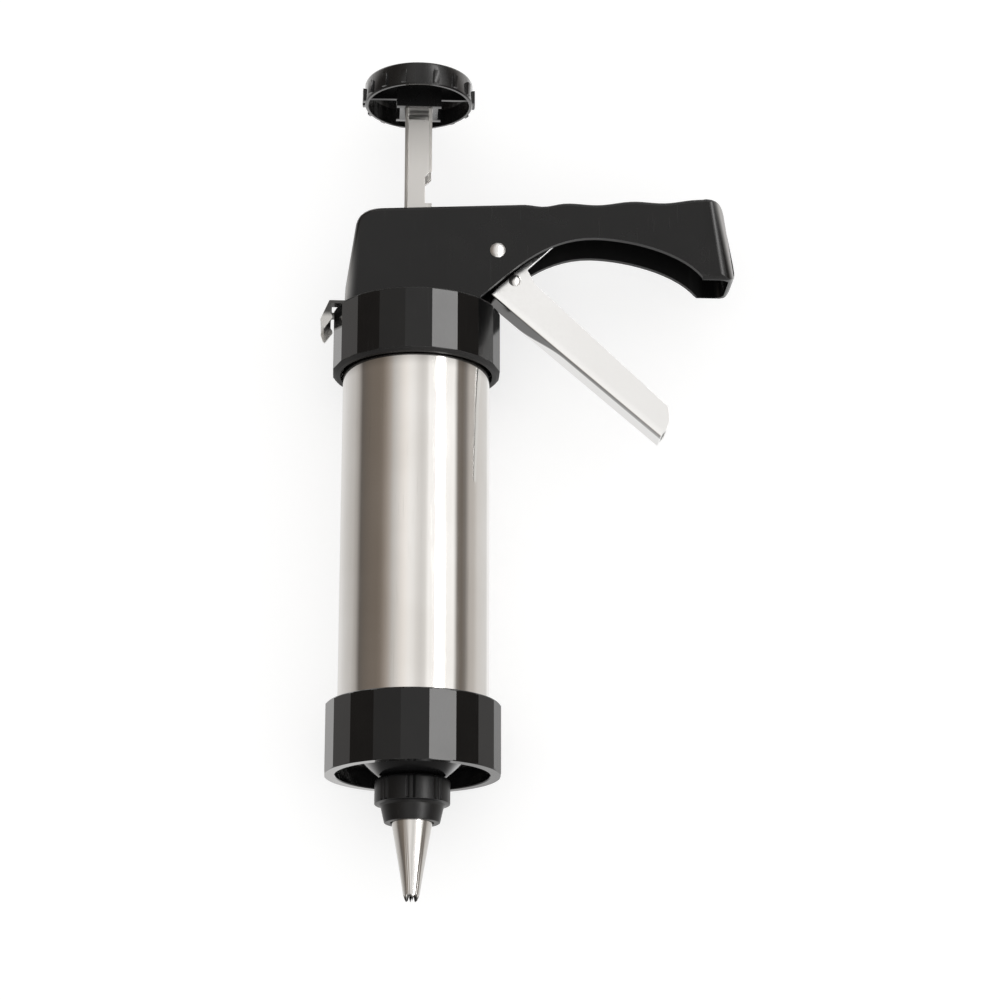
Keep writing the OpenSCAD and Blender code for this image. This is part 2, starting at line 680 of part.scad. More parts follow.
module base_plate() {
    color("gray") lie() difference() {
        translate([0, 0, base_plate_low])
            cylinder(r = base_plate_r, h = base_plate_t, $fn = fine);
        block(-rod_hole_x, rod_hole_x, -rod_hole_y, rod_hole_y, base_plate_low - 1, boss_low + 1);
        for (i = [0:3]) rotate(45 + 90 * i) translate([screw_r, 0, 0]) {
            translate([0, 0, base_plate_low - 1])
                cylinder(r = screw_shank_r + 0.1, h = base_plate_t + 2, $fn = small);
            translate([0, 0, base_plate_low - eps])
                cylinder(r1 = screw_head_r + 0.15, r2 = screw_shank_r + 0.1, h = 1.4, $fn = small);
        }
    }
}

module base_screws() {
    low = base_plate_low + face_play;
    color("silver") lie() for (i = [0:3]) rotate(45 + 90 * i) translate([screw_r, 0, 0])
        difference() {
            union() {
                translate([0, 0, low])
                    cylinder(r1 = screw_head_r, r2 = screw_shank_r, h = 1.3, $fn = small);
                translate([0, 0, low])
                    cylinder(r = screw_shank_r, h = floor_z - low - 0.3, $fn = small);
            }
            block(-1.5, 1.5, -0.3, 0.3, low - 1, low + 0.7);
            block(-0.3, 0.3, -1.5, 1.5, low - 1, low + 0.7);
        }
}

// cross section of the rod: a channel bent from sheet, open toward the handle
module rod_section() {
    difference() {
        union() {
            translate([rod_bend - rod_half_x, -rod_half_y])
                square([2 * rod_half_x - rod_bend, 2 * rod_half_y]);
            translate([-rod_half_x, rod_bend - rod_half_y])
                square([rod_bend + eps, 2 * (rod_half_y - rod_bend)]);
            for (s = [-1, 1]) translate([rod_bend - rod_half_x, s * (rod_half_y - rod_bend)])
                circle(r = rod_bend, $fn = small);
        }
        translate([rod_wall - rod_half_x, rod_wall - rod_half_y])
            square([2 * rod_half_x, 2 * (rod_half_y - rod_wall)]);
    }
}

module plunger_rod() {
    edge = rod_half_x;
    root = edge - rack_d;
    color("silver") lie() difference() {
        translate([0, 0, rod_low]) linear_extrude(rod_high - rod_low) rod_section();
        for (i = [0:rack_count - 1]) plate(-rod_half_y - 1, rod_half_y + 1)
            let (z = rack_top - rack_pitch * i, wide = i == 0 ? end_notch_open : rack_open)
                polygon([[edge + 1, z], [root, z], [root, z + wide - rack_d],
                         [edge + 1, z + wide + 1]]);
        for (s = [-1, 1]) block(0.75 - edge, edge - 1.25, s > 0 ? rod_half_y - rod_slot_d :
            -rod_half_y - 1, s > 0 ? rod_half_y + 1 : rod_slot_d - rod_half_y, rod_slot_z,
            rod_slot_z + rod_slot_w);
    }
}

module knob() {
    inner = knob_r - knob_wall;
    ceiling = knob_high - knob_top_t;
    color("dimgray") lie() difference() {
        union() {
            difference() {
                rotate_extrude($fn = fine)
                    polygon([[0, knob_low], [knob_r - 0.4, knob_low], [knob_r, knob_low + 0.4],
                             [knob_r, knob_high - 1.1], [knob_r - 0.4, knob_high - 0.35],
                             [knob_r - 1.3, knob_high], [0, knob_high]]);
                translate([0, 0, knob_low - 1])
                    cylinder(r = inner, h = ceiling - knob_low + 1, $fn = fine);
            }
            for (i = [0:knob_ribs - 1], side = [0, 1], far = [0, 1])
                mirror([side, 0, 0]) mirror([0, far, 0]) rotate(knob_rib_turn + knob_rib_step * i - 90)
                    block(knob_r - 0.6, knob_r + knob_rib_out, -knob_rib_w / 2, knob_rib_w / 2,
                        knob_rib_low, knob_rib_high);
            for (s = [-1, 1]) block(s > 0 ? socket_half_x - 0.2 : -inner - eps,
                s > 0 ? inner + eps : 0.2 - socket_half_x, -0.6, 0.6, knob_low + 2.5, ceiling + eps);
            block(-socket_half_x, socket_half_x, -socket_half_y, socket_half_y, socket_low,
                ceiling + eps);
        }
        for (s = [-1, 1]) block(s > 0 ? socket_half_x - 1.1 : -socket_half_x - 1,
            s > 0 ? socket_half_x + 1 : 1.1 - socket_half_x, 1.8 - socket_half_y,
            socket_half_y - 1.8, socket_low - 1, knob_low + 2.1);
        block(-edge_fit(rod_half_x), edge_fit(rod_half_x), -edge_fit(rod_half_y),
            edge_fit(rod_half_y), socket_low - 1, rod_high + face_play);
    }
}

// press play round the rod end in the knob
function edge_fit(half) = half + 0.06;

module rod_foot() {
    color("dimgray") lie() difference() {
        union() {
            translate([0, 0, hub_top + face_play])
                cylinder(r = hub_r, h = rod_hub_top - hub_top - face_play, $fn = fine);
            block(rod_wall - rod_half_x + eps, rod_half_x - rack_d - 0.2, rod_wall - rod_half_y + eps,
                rod_half_y - rod_wall - eps, rod_hub_top - eps, rod_hub_top + foot_block_h);
        }
        translate([0, 0, hub_top - 1])
            cylinder(r = piston_screw_r, h = piston_screw_len - 8.6, $fn = small);
    }
}

module piston_disc() {
    color("gray") lie() difference() {
        rotate_extrude($fn = fine)
            polygon([[0, piston_low], [piston_r - 0.5, piston_low], [piston_r, piston_low + 0.5],
                     [piston_r, piston_plate_top], [seal_seat_r, piston_plate_top],
                     [seal_seat_r, seal_top + face_play], [piston_r - 1, seal_top + face_play],
                     [piston_r - 1, hub_top - 0.4], [seal_seat_r - 1, hub_top - 0.4],
                     [seal_seat_r - 2, seal_top - 2.5], [hub_r + 2, seal_top - 2.5],
                     [hub_r + 1, hub_top], [0, hub_top]]);
        translate([0, 0, piston_low - 1])
            cylinder(r = piston_screw_r + 0.1, h = hub_top - piston_low + 2, $fn = small);
        translate([0, 0, piston_low - eps])
            cylinder(r1 = piston_head_r + 0.2, r2 = piston_screw_r + 0.1, h = 2.2, $fn = small);
    }
}

module piston_seal() {
    low = piston_plate_top + face_play;
    seat = seal_seat_r + 0.1;
    waist = seal_r - 1.2;
    color("darkred") lie() rotate_extrude($fn = fine)
        polygon([[seat, low], [waist, low], [seal_r, low + 1.6], [seal_r, low + 2.4],
                 [waist, low + 3.2], [waist, seal_top - 1.6], [seal_r, seal_top - 0.8],
                 [seal_r, seal_top - 0.2], [waist, seal_top], [seat, seal_top]]);
}

module piston_screw() {
    low = piston_low + face_play;
    color("silver") lie() difference() {
        union() {
            translate([0, 0, low])
                cylinder(r1 = piston_head_r, r2 = piston_screw_r, h = 2, $fn = small);
            translate([0, 0, low])
                cylinder(r = piston_screw_r, h = piston_screw_len, $fn = small);
        }
        block(-2.6, 2.6, -0.4, 0.4, low - 1, low + 1);
    }
}

// dome of a rivet head, base radius r and height h, at the near (s = -1) or far (s = 1) side
module rivet_head(x, z, y, r, h, s) {
    ball = (r * r + h * h) / (2 * h);
    translate([x, y, z]) rotate([s > 0 ? -90 : 90, 0, 0]) intersection() {
        translate([0, 0, h - ball]) rotate_extrude($fn = small) difference() {
            circle(r = ball, $fn = 64);
            translate([-2 * ball, -2 * ball]) square([2 * ball, 4 * ball]);
        }
        cylinder(r = r + 1, h = h + 1, $fn = small);
    }
}

module pivot_rivet() {
    half = housing_t / 2;
    color("silver") lie() {
        bar(pivot_x, pivot_z, pivot_r, -half - eps, half + eps);
        for (s = [-1, 1]) rivet_head(pivot_x, pivot_z, s * half, pivot_head_r, 1.1, s);
    }
}

module pivot_bush() {
    color("goldenrod") lie() difference() {
        bar(pivot_x, pivot_z, pivot_r + 0.9, eps - arm_gap, arm_gap - eps);
        bar(pivot_x, pivot_z, pivot_r + pin_play, -arm_gap - 1, arm_gap + 1);
    }
}

// sets what is measured from the pivot in its place
module at_pivot() {
    translate([pivot_x, 0, pivot_z]) children();
}

// side view of the lever flange, from the pivot
module lever_outline() {
    polygon([[root_x, root_z], [root_top_x, root_top_z], [shoulder_x, shoulder_z],
             [finger_x, finger_z], [finger_x + 0.25, finger_z - 3], [finger_x + 0.07, finger_z - 6],
             [finger_x - 0.8, finger_z - 8.2], [heel_x + 0.9, heel_z + 1.2], [heel_x, heel_z]]);
}

module trigger_lever() {
    half = lever_w / 2;
    inset = [-web_uz, web_ux] * lever_wall;
    a = [root_x, root_z] + inset - 9 * [web_ux, web_uz];
    b = [heel_x, heel_z] + inset + 9 * [web_ux, web_uz];
    out = [-web_uz, web_ux] * 30;
    color("silver") lie() at_pivot() difference() {
        union() {
            plate(-half, half) lever_outline();
            plate(-half, lever_wall - half)
                polygon([[root_top_x, root_top_z], [horn_x - 0.6, horn_z + 0.8],
                         [horn_x, horn_z], mix([root_top_x, root_top_z],
                         [shoulder_x, shoulder_z], 0.25, 0.25), [root_x, root_z]]);
        }
        plate(lever_wall - half, half - lever_wall) polygon([a, b, b + out, a + out]);
        bar(rivet_x, rivet_z, rivet_r, -half - 1, half + 1);
    }
}

module lever_rivet() {
    half = lever_w / 2;
    color("silver") lie() at_pivot() {
        bar(rivet_x, rivet_z, rivet_r, -half - eps, half + eps);
        for (s = [-1, 1]) rivet_head(rivet_x, rivet_z, s * half, rivet_head_r, 1.2, s);
    }
}

// side view of one drive arm plate, from the pivot: pivot eye, pin eye and lever seat
module arm_outline() {
    gap = lever_wall + 0.1;
    along = [web_ux, web_uz];
    foot = [root_x, root_z] + gap * [-web_uz, web_ux] + along;
    hull() {
        circle(r = arm_eye_r, $fn = small);
        translate([pin_x - pivot_x, pin_z - pivot_z]) circle(r = pin_r + 1.3, $fn = small);
    }
    hull() {
        circle(r = arm_eye_r, $fn = small);
        translate([rivet_x, rivet_z]) circle(r = rivet_r + 2.1, $fn = small);
        polygon([foot, foot + 13 * along, foot + 13 * along + [0.5, 2.5]]);
    }
}

module drive_arms() {
    color("dimgray") lie() at_pivot() difference() {
        for (s = [0, 1]) mirror([0, s, 0]) plate(arm_gap, arm_gap + arm_t) arm_outline();
        bar(0, 0, pivot_r + pin_play, -through, through);
        bar(pin_x - pivot_x, pin_z - pivot_z, pin_r, -through, through);
        bar(rivet_x, rivet_z, rivet_r, -through, through);
    }
}

module drive_pin() {
    color("silver") lie() bar(pin_x, pin_z, pin_r, -yoke_pin_half, yoke_pin_half);
}

module drive_yoke() {
    out = yoke_gap + yoke_t;
    slot = pin_r + slot_play;
    color("silver") lie() difference() {
        block(yoke_left, yoke_right, -out, out, yoke_low, yoke_high);
        block(yoke_left + yoke_t, yoke_right + 1, -yoke_gap, yoke_gap, yoke_low - 1, yoke_high + 1);
        for (x = [slot_left - slot_play, slot_right + slot_play])
            bar(x, pin_z, slot, -through, through);
        block(slot_left - slot_play, slot_right + slot_play, -through, through, pin_z - slot,
            pin_z + slot);
        bar(pawl_x, pawl_z, pawl_pin_r, -through, through);
    }
}

// side view of one cheek of the pawl, from its hinge down to its tip
module pawl_outline() {
    right = pawl_left + pawl_tip_t;
    translate([pawl_x, pawl_z]) circle(r = pawl_pin_r + 1.1, $fn = small);
    polygon([[pawl_x, pawl_z], [pawl_x - 2, pawl_z], [pawl_left + 0.5, pin_z - 1.1],
             [pawl_left, notch_z + 2], [pawl_left, notch_z + 0.6], [right, notch_z + 0.6],
             [right, notch_z + 3], [right - 0.1, pin_z + 1.6], [pawl_x, pawl_z - 1.8]]);
}

module drive_pawl() {
    outer = yoke_gap - 0.2;
    inner = outer - yoke_t;
    color("silver") lie() difference() {
        union() {
            for (s = [0, 1]) mirror([0, s, 0]) plate(inner, outer) pawl_outline();
            plate(-outer, outer) polygon([[pawl_left - 0.05, notch_z + 0.5],
                [pawl_left - 0.05, notch_z + 2.1], [pawl_left + pawl_tip_t, notch_z + 2.7],
                [pawl_left + pawl_tip_t, notch_z + 0.5]]);
        }
        bar(pawl_x, pawl_z, pawl_pin_r + pin_play, -through, through);
    }
}

module pawl_pin() {
    color("silver") lie() bar(pawl_x, pawl_z, pawl_pin_r, -yoke_pin_half, yoke_pin_half);
}

// spring wire wound about the upright axis, as one unbroken tube of 8 rings a turn, with a
// straight leg at each end: radius r, wire radius, pitch, number of turns and leg lengths
module helix(r, wire, pitch, turns, low_leg = 0, high_leg = 0) {
    last = 8 * turns + 2;
    sides = 6;
    points = [for (i = [0:last], j = [0:sides - 1])
        let (turn = min(max(i - 1, 0), last - 2), a = 45 * turn, b = 360 / sides * j,
             leg = i == 0 ? -low_leg - eps : i == last ? high_leg + eps : 0,
             out = r + wire * cos(b))
        [out * cos(a) - leg * sin(a), out * sin(a) + leg * cos(a), pitch * turn / 8 + wire * sin(b)]];
    skin = [for (i = [0:last - 1], j = [0:sides - 1]) let (k = (j + 1) % sides)
        for (f = [[sides * i + j, sides * i + k, sides * (i + 1) + j],
                  [sides * i + k, sides * (i + 1) + k, sides * (i + 1) + j]]) f];
    low_cap = [for (j = [1:sides - 2]) [0, j + 1, j]];
    high_cap = [for (j = [1:sides - 2]) [last * sides, last * sides + j, last * sides + j + 1]];
    polyhedron(points, concat(skin, low_cap, high_cap), convexity = 10);
}

module pawl_spring() {
    half = arm_gap - 0.4;
    color("silver") lie() translate([pawl_x, -half, pawl_z]) rotate([-90, 0, 0])
        helix(pawl_pin_r + 0.9, 0.3, half / 2, 4, 2.2, 0);
}

module return_spring() {
    half = arm_gap - 0.5;
    color("silver") lie() translate([pivot_x, -half, pivot_z]) rotate([-90, 0, 0])
        helix(pivot_r + 1.9, 0.42, 2 * half / 3, 3, spring_foot, spring_leg);
}

// side view of one cheek of the thumb tab
module tab_outline() {
    polygon([[latch_bend_x, latch_z + latch_t], [tab_knee_x - 0.5, tab_knee_z],
             [tab_tip_x - 0.7, tab_tip_z + 0.6], [tab_tip_x, tab_tip_z],
             [tab_tip_x + 1.7, tab_knee_z - 0.6], [tab_tip_x + 2.6, tab_knee_z + 0.6],
             [tab_tip_x + 2.5, tab_knee_z + 1.4], [tab_tip_x + 1.9, tab_knee_z + 2.2],
             [latch_bend_x + 0.4, latch_z + eps], [latch_bend_x + 1, latch_z + latch_t]]);
}

module release_latch() {
    top = latch_z + latch_t;
    foot = latch_pin_r + 1;
    color("silver") lie() difference() {
        union() {
            block(latch_bend_x, latch_pin_x + foot - 0.2, -latch_half_y, latch_half_y, latch_z, top);
            block(latch_pin_x + 1.5, -rod_half_x - 0.4, -4, 4, latch_z, top);
            for (s = [0, 1]) mirror([0, s, 0]) plate(latch_half_y - latch_t, latch_half_y) {
                translate([latch_pin_x, latch_pin_z]) circle(r = foot, $fn = small);
                polygon([[latch_pin_x - foot, latch_z], [latch_pin_x + foot - 0.2, latch_z],
                         [latch_pin_x + foot, latch_pin_z], [latch_pin_x - foot, latch_pin_z]]);
                tab_outline();
            }
            plate(-latch_half_y + eps, latch_half_y - eps) polygon([[latch_bend_x, latch_z],
                [latch_bend_x, top - eps], [tab_knee_x - 0.4, tab_knee_z],
                [tab_knee_x + 0.6, tab_knee_z], [latch_bend_x + 0.4, latch_z + eps]]);
        }
        block(latch_bend_x + 0.8, latch_bend_x + 3.4, -4, 4, latch_z - 1, top + 1);
        bar(latch_pin_x, latch_pin_z, latch_pin_r + pin_play, -latch_pin_half, latch_pin_half);
    }
}

module latch_pin() {
    color("silver") lie() bar(latch_pin_x, latch_pin_z, latch_pin_r, eps - latch_pin_half,
        latch_pin_half - eps);
}

module latch_spring() {
    low = latch_z + latch_t + 0.4;
    color("silver") lie() translate([latch_pin_x + 5.9, 0, low])
        helix(2.6, 0.35, (deck_z - low - 0.4) / 7, 7);
}

housing();
base_plate();
base_screws();
upper_collar();
barrel();
lower_collar();
nozzle_adapter();
coupler_nut();
nozzle();
plunger_rod();
knob();
rod_foot();
piston_disc();
piston_seal();
piston_screw();
pivot_rivet();
pivot_bush();
trigger_lever();
lever_rivet();
drive_arms();
drive_pin();
drive_yoke();
drive_pawl();
pawl_pin();
pawl_spring();
return_spring();
release_latch();
latch_pin();
latch_spring();
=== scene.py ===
import bpy
import bmesh
import math
import numpy as np
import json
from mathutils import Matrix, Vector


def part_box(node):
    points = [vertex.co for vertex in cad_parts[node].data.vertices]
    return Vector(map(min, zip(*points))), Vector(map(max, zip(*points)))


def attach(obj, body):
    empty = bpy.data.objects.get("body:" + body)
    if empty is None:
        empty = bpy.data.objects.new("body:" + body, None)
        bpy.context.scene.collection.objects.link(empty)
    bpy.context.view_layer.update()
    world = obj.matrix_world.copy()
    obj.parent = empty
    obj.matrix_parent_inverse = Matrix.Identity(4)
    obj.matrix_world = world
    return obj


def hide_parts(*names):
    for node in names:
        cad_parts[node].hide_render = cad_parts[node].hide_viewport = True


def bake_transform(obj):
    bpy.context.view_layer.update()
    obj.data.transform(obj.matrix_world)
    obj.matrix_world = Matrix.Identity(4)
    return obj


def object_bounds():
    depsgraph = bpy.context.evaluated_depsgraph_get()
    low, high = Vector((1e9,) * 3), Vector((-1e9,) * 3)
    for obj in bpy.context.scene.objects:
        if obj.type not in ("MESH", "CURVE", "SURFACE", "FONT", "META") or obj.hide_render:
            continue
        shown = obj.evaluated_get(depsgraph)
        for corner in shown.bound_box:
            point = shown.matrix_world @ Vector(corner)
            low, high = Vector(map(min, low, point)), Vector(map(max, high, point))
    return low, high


# Looks of the pastry syringe. Metres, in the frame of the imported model: X to the handle, Y up the
# barrel to the knob, Z toward the viewer. The dictionaries give real sizes in mm, angles in degrees.

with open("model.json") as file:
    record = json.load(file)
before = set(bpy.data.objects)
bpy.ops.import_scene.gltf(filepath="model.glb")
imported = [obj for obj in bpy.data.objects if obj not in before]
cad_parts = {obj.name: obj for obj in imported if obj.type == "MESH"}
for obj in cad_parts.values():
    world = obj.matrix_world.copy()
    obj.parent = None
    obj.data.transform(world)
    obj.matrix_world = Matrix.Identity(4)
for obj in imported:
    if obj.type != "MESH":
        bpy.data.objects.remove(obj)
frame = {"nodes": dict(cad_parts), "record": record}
nodes = frame["nodes"]
packedLow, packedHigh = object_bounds()
mm = 0.001
print("stage: frame loaded,", len(nodes), "nodes")


# node helpers

def startMaterial(name):
    material = bpy.data.materials.new(name)
    material.use_nodes = True
    tree = material.node_tree
    tree.nodes.clear()
    shader = tree.nodes.new("ShaderNodeBsdfPrincipled")
    output = tree.nodes.new("ShaderNodeOutputMaterial")
    tree.links.new(shader.outputs["BSDF"], output.inputs["Surface"])
    return material, tree, shader


def feed(tree, socket, value):
    if hasattr(value, "is_output"):
        tree.links.new(value, socket)
    else:
        socket.default_value = value


def mathNode(tree, operation, first, second=0.0, third=0.0):
    node = tree.nodes.new("ShaderNodeMath")
    node.operation = operation
    for socket, value in zip(node.inputs, (first, second, third)):
        feed(tree, socket, value)
    return node.outputs[0]


def chained(tree, operation, values):
    total = values[0]
    for value in values[1:]:
        total = mathNode(tree, operation, total, value)
    return total


def product(tree, *values):
    return chained(tree, "MULTIPLY", values)


def summed(tree, *values):
    return chained(tree, "ADD", values)


def less(tree, first, second):
    return mathNode(tree, "SUBTRACT", first, second)


def absolute(tree, value):
    return mathNode(tree, "ABSOLUTE", value)


def between(tree, share, low, high):
    # low where share is 0 and high where it is 1
    return mathNode(tree, "MULTIPLY_ADD", share, high - low, low)


def rangeNode(tree, value, fromLow, fromHigh, toLow=0.0, toHigh=1.0, smooth=False):
    node = tree.nodes.new("ShaderNodeMapRange")
    node.interpolation_type = "SMOOTHSTEP" if smooth else "LINEAR"
    feed(tree, node.inputs["Value"], value)
    ends = {"From Min": fromLow, "From Max": fromHigh, "To Min": toLow, "To Max": toHigh}
    for key, number in ends.items():
        node.inputs[key].default_value = number
    return node.outputs["Result"]


def fadeNode(tree, value, low, high, smooth=True):
    # 0 below low and 1 above high, or the other way round where low is more than high; in mm
    if low > high:
        return rangeNode(tree, value, high * mm, low * mm, 1.0, 0.0, smooth)
    return rangeNode(tree, value, low * mm, high * mm, 0.0, 1.0, smooth)


def mixColours(tree, factor, first, second):
    node = tree.nodes.new("ShaderNodeMix")
    node.data_type = "RGBA"
    feed(tree, node.inputs["Factor"], factor)
    feed(tree, node.inputs["A"], first)
    feed(tree, node.inputs["B"], second)
    return node.outputs["Result"]


def objectPoint(tree):
    return tree.nodes.new("ShaderNodeTexCoord").outputs["Object"]


def pointParts(tree, point):
    node = tree.nodes.new("ShaderNodeSeparateXYZ")
    tree.links.new(point, node.inputs["Vector"])
    return node.outputs["X"], node.outputs["Y"], node.outputs["Z"]


def stretched(tree, vector, scale, turn=(0.0, 0.0, 0.0)):
    node = tree.nodes.new("ShaderNodeMapping")
    node.inputs["Rotation"].default_value = turn
    node.inputs["Scale"].default_value = scale
    tree.links.new(vector, node.inputs["Vector"])
    return node.outputs["Vector"]


def noise(tree, vector, scale, detail=3.0, rough=0.5):
    node = tree.nodes.new("ShaderNodeTexNoise")
    tree.links.new(vector, node.inputs["Vector"])
    node.inputs["Scale"].default_value = scale
    node.inputs["Detail"].default_value = detail
    node.inputs["Roughness"].default_value = rough
    return node.outputs["Fac"]


def bumpNode(tree, shader, height, strength, distance):
    node = tree.nodes.new("ShaderNodeBump")
    node.inputs["Strength"].default_value = strength
    node.inputs["Distance"].default_value = distance
    feed(tree, node.inputs["Height"], height)
    tree.links.new(node.outputs["Normal"], shader.inputs["Normal"])


def tinted(base, *factors):
    # the colour with each channel times its factor
    return (*(channel * factor for channel, factor in zip(base, factors)), 1.0)


# shared effect: fine hairline scratches and soft smears where hands rub, a mask of each from 0 to 1
handling = {"lines": ((0.4, 900.0), (1.9, 1300.0), (2.7, 700.0)), "stretch": 0.04, "lineCut": (0.69, 0.74),
            "smearScale": 45.0, "smearCut": (0.42, 0.66)}


def handlingGroup():
    group = bpy.data.node_groups.new("handlingMarks", "ShaderNodeTree")
    group.interface.new_socket("Point", in_out="INPUT", socket_type="NodeSocketVector")
    group.interface.new_socket("Hairlines", in_out="OUTPUT", socket_type="NodeSocketFloat")
    group.interface.new_socket("Smears", in_out="OUTPUT", socket_type="NodeSocketFloat")
    entry = group.nodes.new("NodeGroupInput")
    leave = group.nodes.new("NodeGroupOutput")
    point = entry.outputs["Point"]
    masks = []
    for turn, scale in handling["lines"]:
        turned = stretched(group, point, (1.0, handling["stretch"], 1.0), (turn, 0.6 * turn, turn))
        masks.append(rangeNode(group, noise(group, turned, scale, 2.0), *handling["lineCut"]))
    group.links.new(chained(group, "MAXIMUM", masks), leave.inputs["Hairlines"])
    cloud = noise(group, point, handling["smearScale"], 4.0, 0.6)
    group.links.new(rangeNode(group, cloud, *handling["smearCut"], smooth=True), leave.inputs["Smears"])
    return group


handlingMarks = handlingGroup()


def useHandling(tree, point):
    node = tree.nodes.new("ShaderNodeGroup")
    node.node_tree = handlingMarks
    tree.links.new(point, node.inputs["Point"])
    return node.outputs["Hairlines"], node.outputs["Smears"]


# kinds of finish

def grazingCoat(tree, shader, facingCut, roughness, kept, ior):
    # more reflection where the surface turns away from the viewer, as polished mouldings have,
    # over as much of it as kept says
    facing = tree.nodes.new("ShaderNodeLayerWeight")
    facing.inputs["Blend"].default_value = 0.5
    weight = rangeNode(tree, facing.outputs["Facing"], *facingCut, smooth=True)
    tree.links.new(product(tree, weight, kept), shader.inputs["Coat Weight"])
    shader.inputs["Coat IOR"].default_value = ior
    shader.inputs["Coat Roughness"].default_value = roughness


def blackPlastic(name, base, gloss, grain=0.0, ior=1.45, coated=True, polished=None, dull=None, paintedSheen=None):
    # the coat fades out between the two places along X that polished gives; dull(tree, x, y, z) is
    # how matt the moulding is left, and the last argument paints a pale highlight into the colour
    material, tree, shader = startMaterial(name)
    point = objectPoint(tree)
    place = pointParts(tree, point)
    matt = dull(tree, *place) if dull else 0.0
    hairlines, smears = useHandling(tree, point)
    cloud = rangeNode(tree, noise(tree, point, 120.0, 4.0), 0.3, 0.7)
    black = (base, base, base)
    colour = mixColours(tree, cloud, tinted(black, 1.0, 1.0, 1.05), tinted(black, 1.4, 1.38, 1.36))
    colour = mixColours(tree, product(tree, hairlines, 0.08), colour, (0.05, 0.05, 0.05, 1.0))
    # painted highlight: pale grey mixed into the colour
    if paintedSheen:
        colour = mixColours(tree, paintedSheen(tree, *place), colour, (0.62, 0.61, 0.60, 1.0))
    tree.links.new(colour, shader.inputs["Base Color"])
    rough = summed(tree, between(tree, smears, gloss, gloss + 0.05), product(tree, hairlines, 0.04),
                   product(tree, matt, 0.45))
    tree.links.new(rough, shader.inputs["Roughness"])
    shader.inputs["IOR"].default_value = ior
    fine = product(tree, noise(tree, point, 2600.0, 2.0), 0.25 + grain)
    bumpNode(tree, shader, summed(tree, fine, noise(tree, point, 60.0, 1.0)), 0.2, 0.04 * mm)
    if coated:
        kept = less(tree, 1.0, matt)
        if polished:
            kept = product(tree, kept, fadeNode(tree, place[0], *polished))
        grazingCoat(tree, shader, (0.3, 0.7), 0.08, kept, 2.0)
    return material


def darkGloss(name):
    # glossy only at the sides, where the cone turns away
    material, tree, shader = startMaterial(name)
    point = objectPoint(tree)
    x, y, z = pointParts(tree, point)
    hairlines, smears = useHandling(tree, point)
    cloud = noise(tree, point, 90.0, 3.0)
    tree.links.new(mixColours(tree, cloud, (0.006, 0.006, 0.0065, 1.0), (0.01, 0.0098, 0.0098, 1.0)),
                   shader.inputs["Base Color"])
    rough = summed(tree, between(tree, smears, 0.12, 0.2), product(tree, hairlines, 0.1))
    tree.links.new(rough, shader.inputs["Roughness"])
    shader.inputs["IOR"].default_value = 1.2
    grazingCoat(tree, shader, (0.3, 0.75), 0.06, fadeNode(tree, absolute(tree, x), 10.0, 15.0), 2.6)
    bumpNode(tree, shader, noise(tree, point, 70.0, 1.0), 0.15, 0.05 * mm)
    return material


def drawnMetal(name, base, rough, grain, depth, tint=0.06, marks=1.0, shade=None, dull=None, form=None):
    # metal with drawing marks, noise pulled out along the direction in which grain is small;
    # shade(tree, x, y, z) darkens the colour, on most metals as painted shade; dull adds to the roughness
    # and form to the height
    material, tree, shader = startMaterial(name)
    point = objectPoint(tree)
    place = pointParts(tree, point)
    hairlines, smears = useHandling(tree, point)
    hairlines = product(tree, hairlines, marks)
    lines = noise(tree, stretched(tree, point, grain), 1.0, 4.0, 0.6)
    cloud = rangeNode(tree, noise(tree, point, 35.0, 3.0), 0.35, 0.65)
    colour = mixColours(tree, cloud, (*base, 1.0), tinted(base, 1 - tint, 1 - 1.1 * tint, 1 - 1.25 * tint))
    colour = mixColours(tree, product(tree, hairlines, 0.3), colour, tinted(base, 0.8, 0.8, 0.78))
    if shade:
        # toward near black where shade is low: painted shade and dark reflection on most metals
        colour = mixColours(tree, shade(tree, *place), (0.004, 0.004, 0.004, 1.0), colour)
    tree.links.new(colour, shader.inputs["Base Color"])
    spread = summed(tree, rangeNode(tree, lines, 0.3, 0.7, rough - 0.04, rough + 0.05),
                    product(tree, smears, 0.04 * marks), product(tree, hairlines, 0.08))
    if dull:
        spread = summed(tree, spread, dull(tree, *place))
    tree.links.new(spread, shader.inputs["Roughness"])
    shader.inputs["Metallic"].default_value = 1.0
    height = product(tree, lines, depth * 0.04 * mm)
    if form:
        height = summed(tree, height, form(tree, *place))
    bumpNode(tree, shader, height, 1.0, 1.0)
    return material


def sealRubber(name):
    material, tree, shader = startMaterial(name)
    point = objectPoint(tree)
    cloud = noise(tree, point, 200.0, 4.0)
    tree.links.new(mixColours(tree, cloud, (0.30, 0.035, 0.03, 1.0), (0.38, 0.05, 0.04, 1.0)),
                   shader.inputs["Base Color"])
    tree.links.new(rangeNode(tree, cloud, 0.3, 0.7, 0.5, 0.65), shader.inputs["Roughness"])
    bumpNode(tree, shader, noise(tree, point, 1500.0, 2.0), 0.2, 0.05 * mm)
    return material


def greyPlastic(name):
    material, tree, shader = startMaterial(name)
    point = objectPoint(tree)
    hairlines, smears = useHandling(tree, point)
    cloud = noise(tree, point, 110.0, 4.0)
    tree.links.new(mixColours(tree, cloud, (0.46, 0.46, 0.45, 1.0), (0.54, 0.54, 0.53, 1.0)),
                   shader.inputs["Base Color"])
    tree.links.new(between(tree, smears, 0.35, 0.5), shader.inputs["Roughness"])
    bumpNode(tree, shader, noise(tree, point, 1800.0, 2.0), 0.15, 0.04 * mm)
    return material
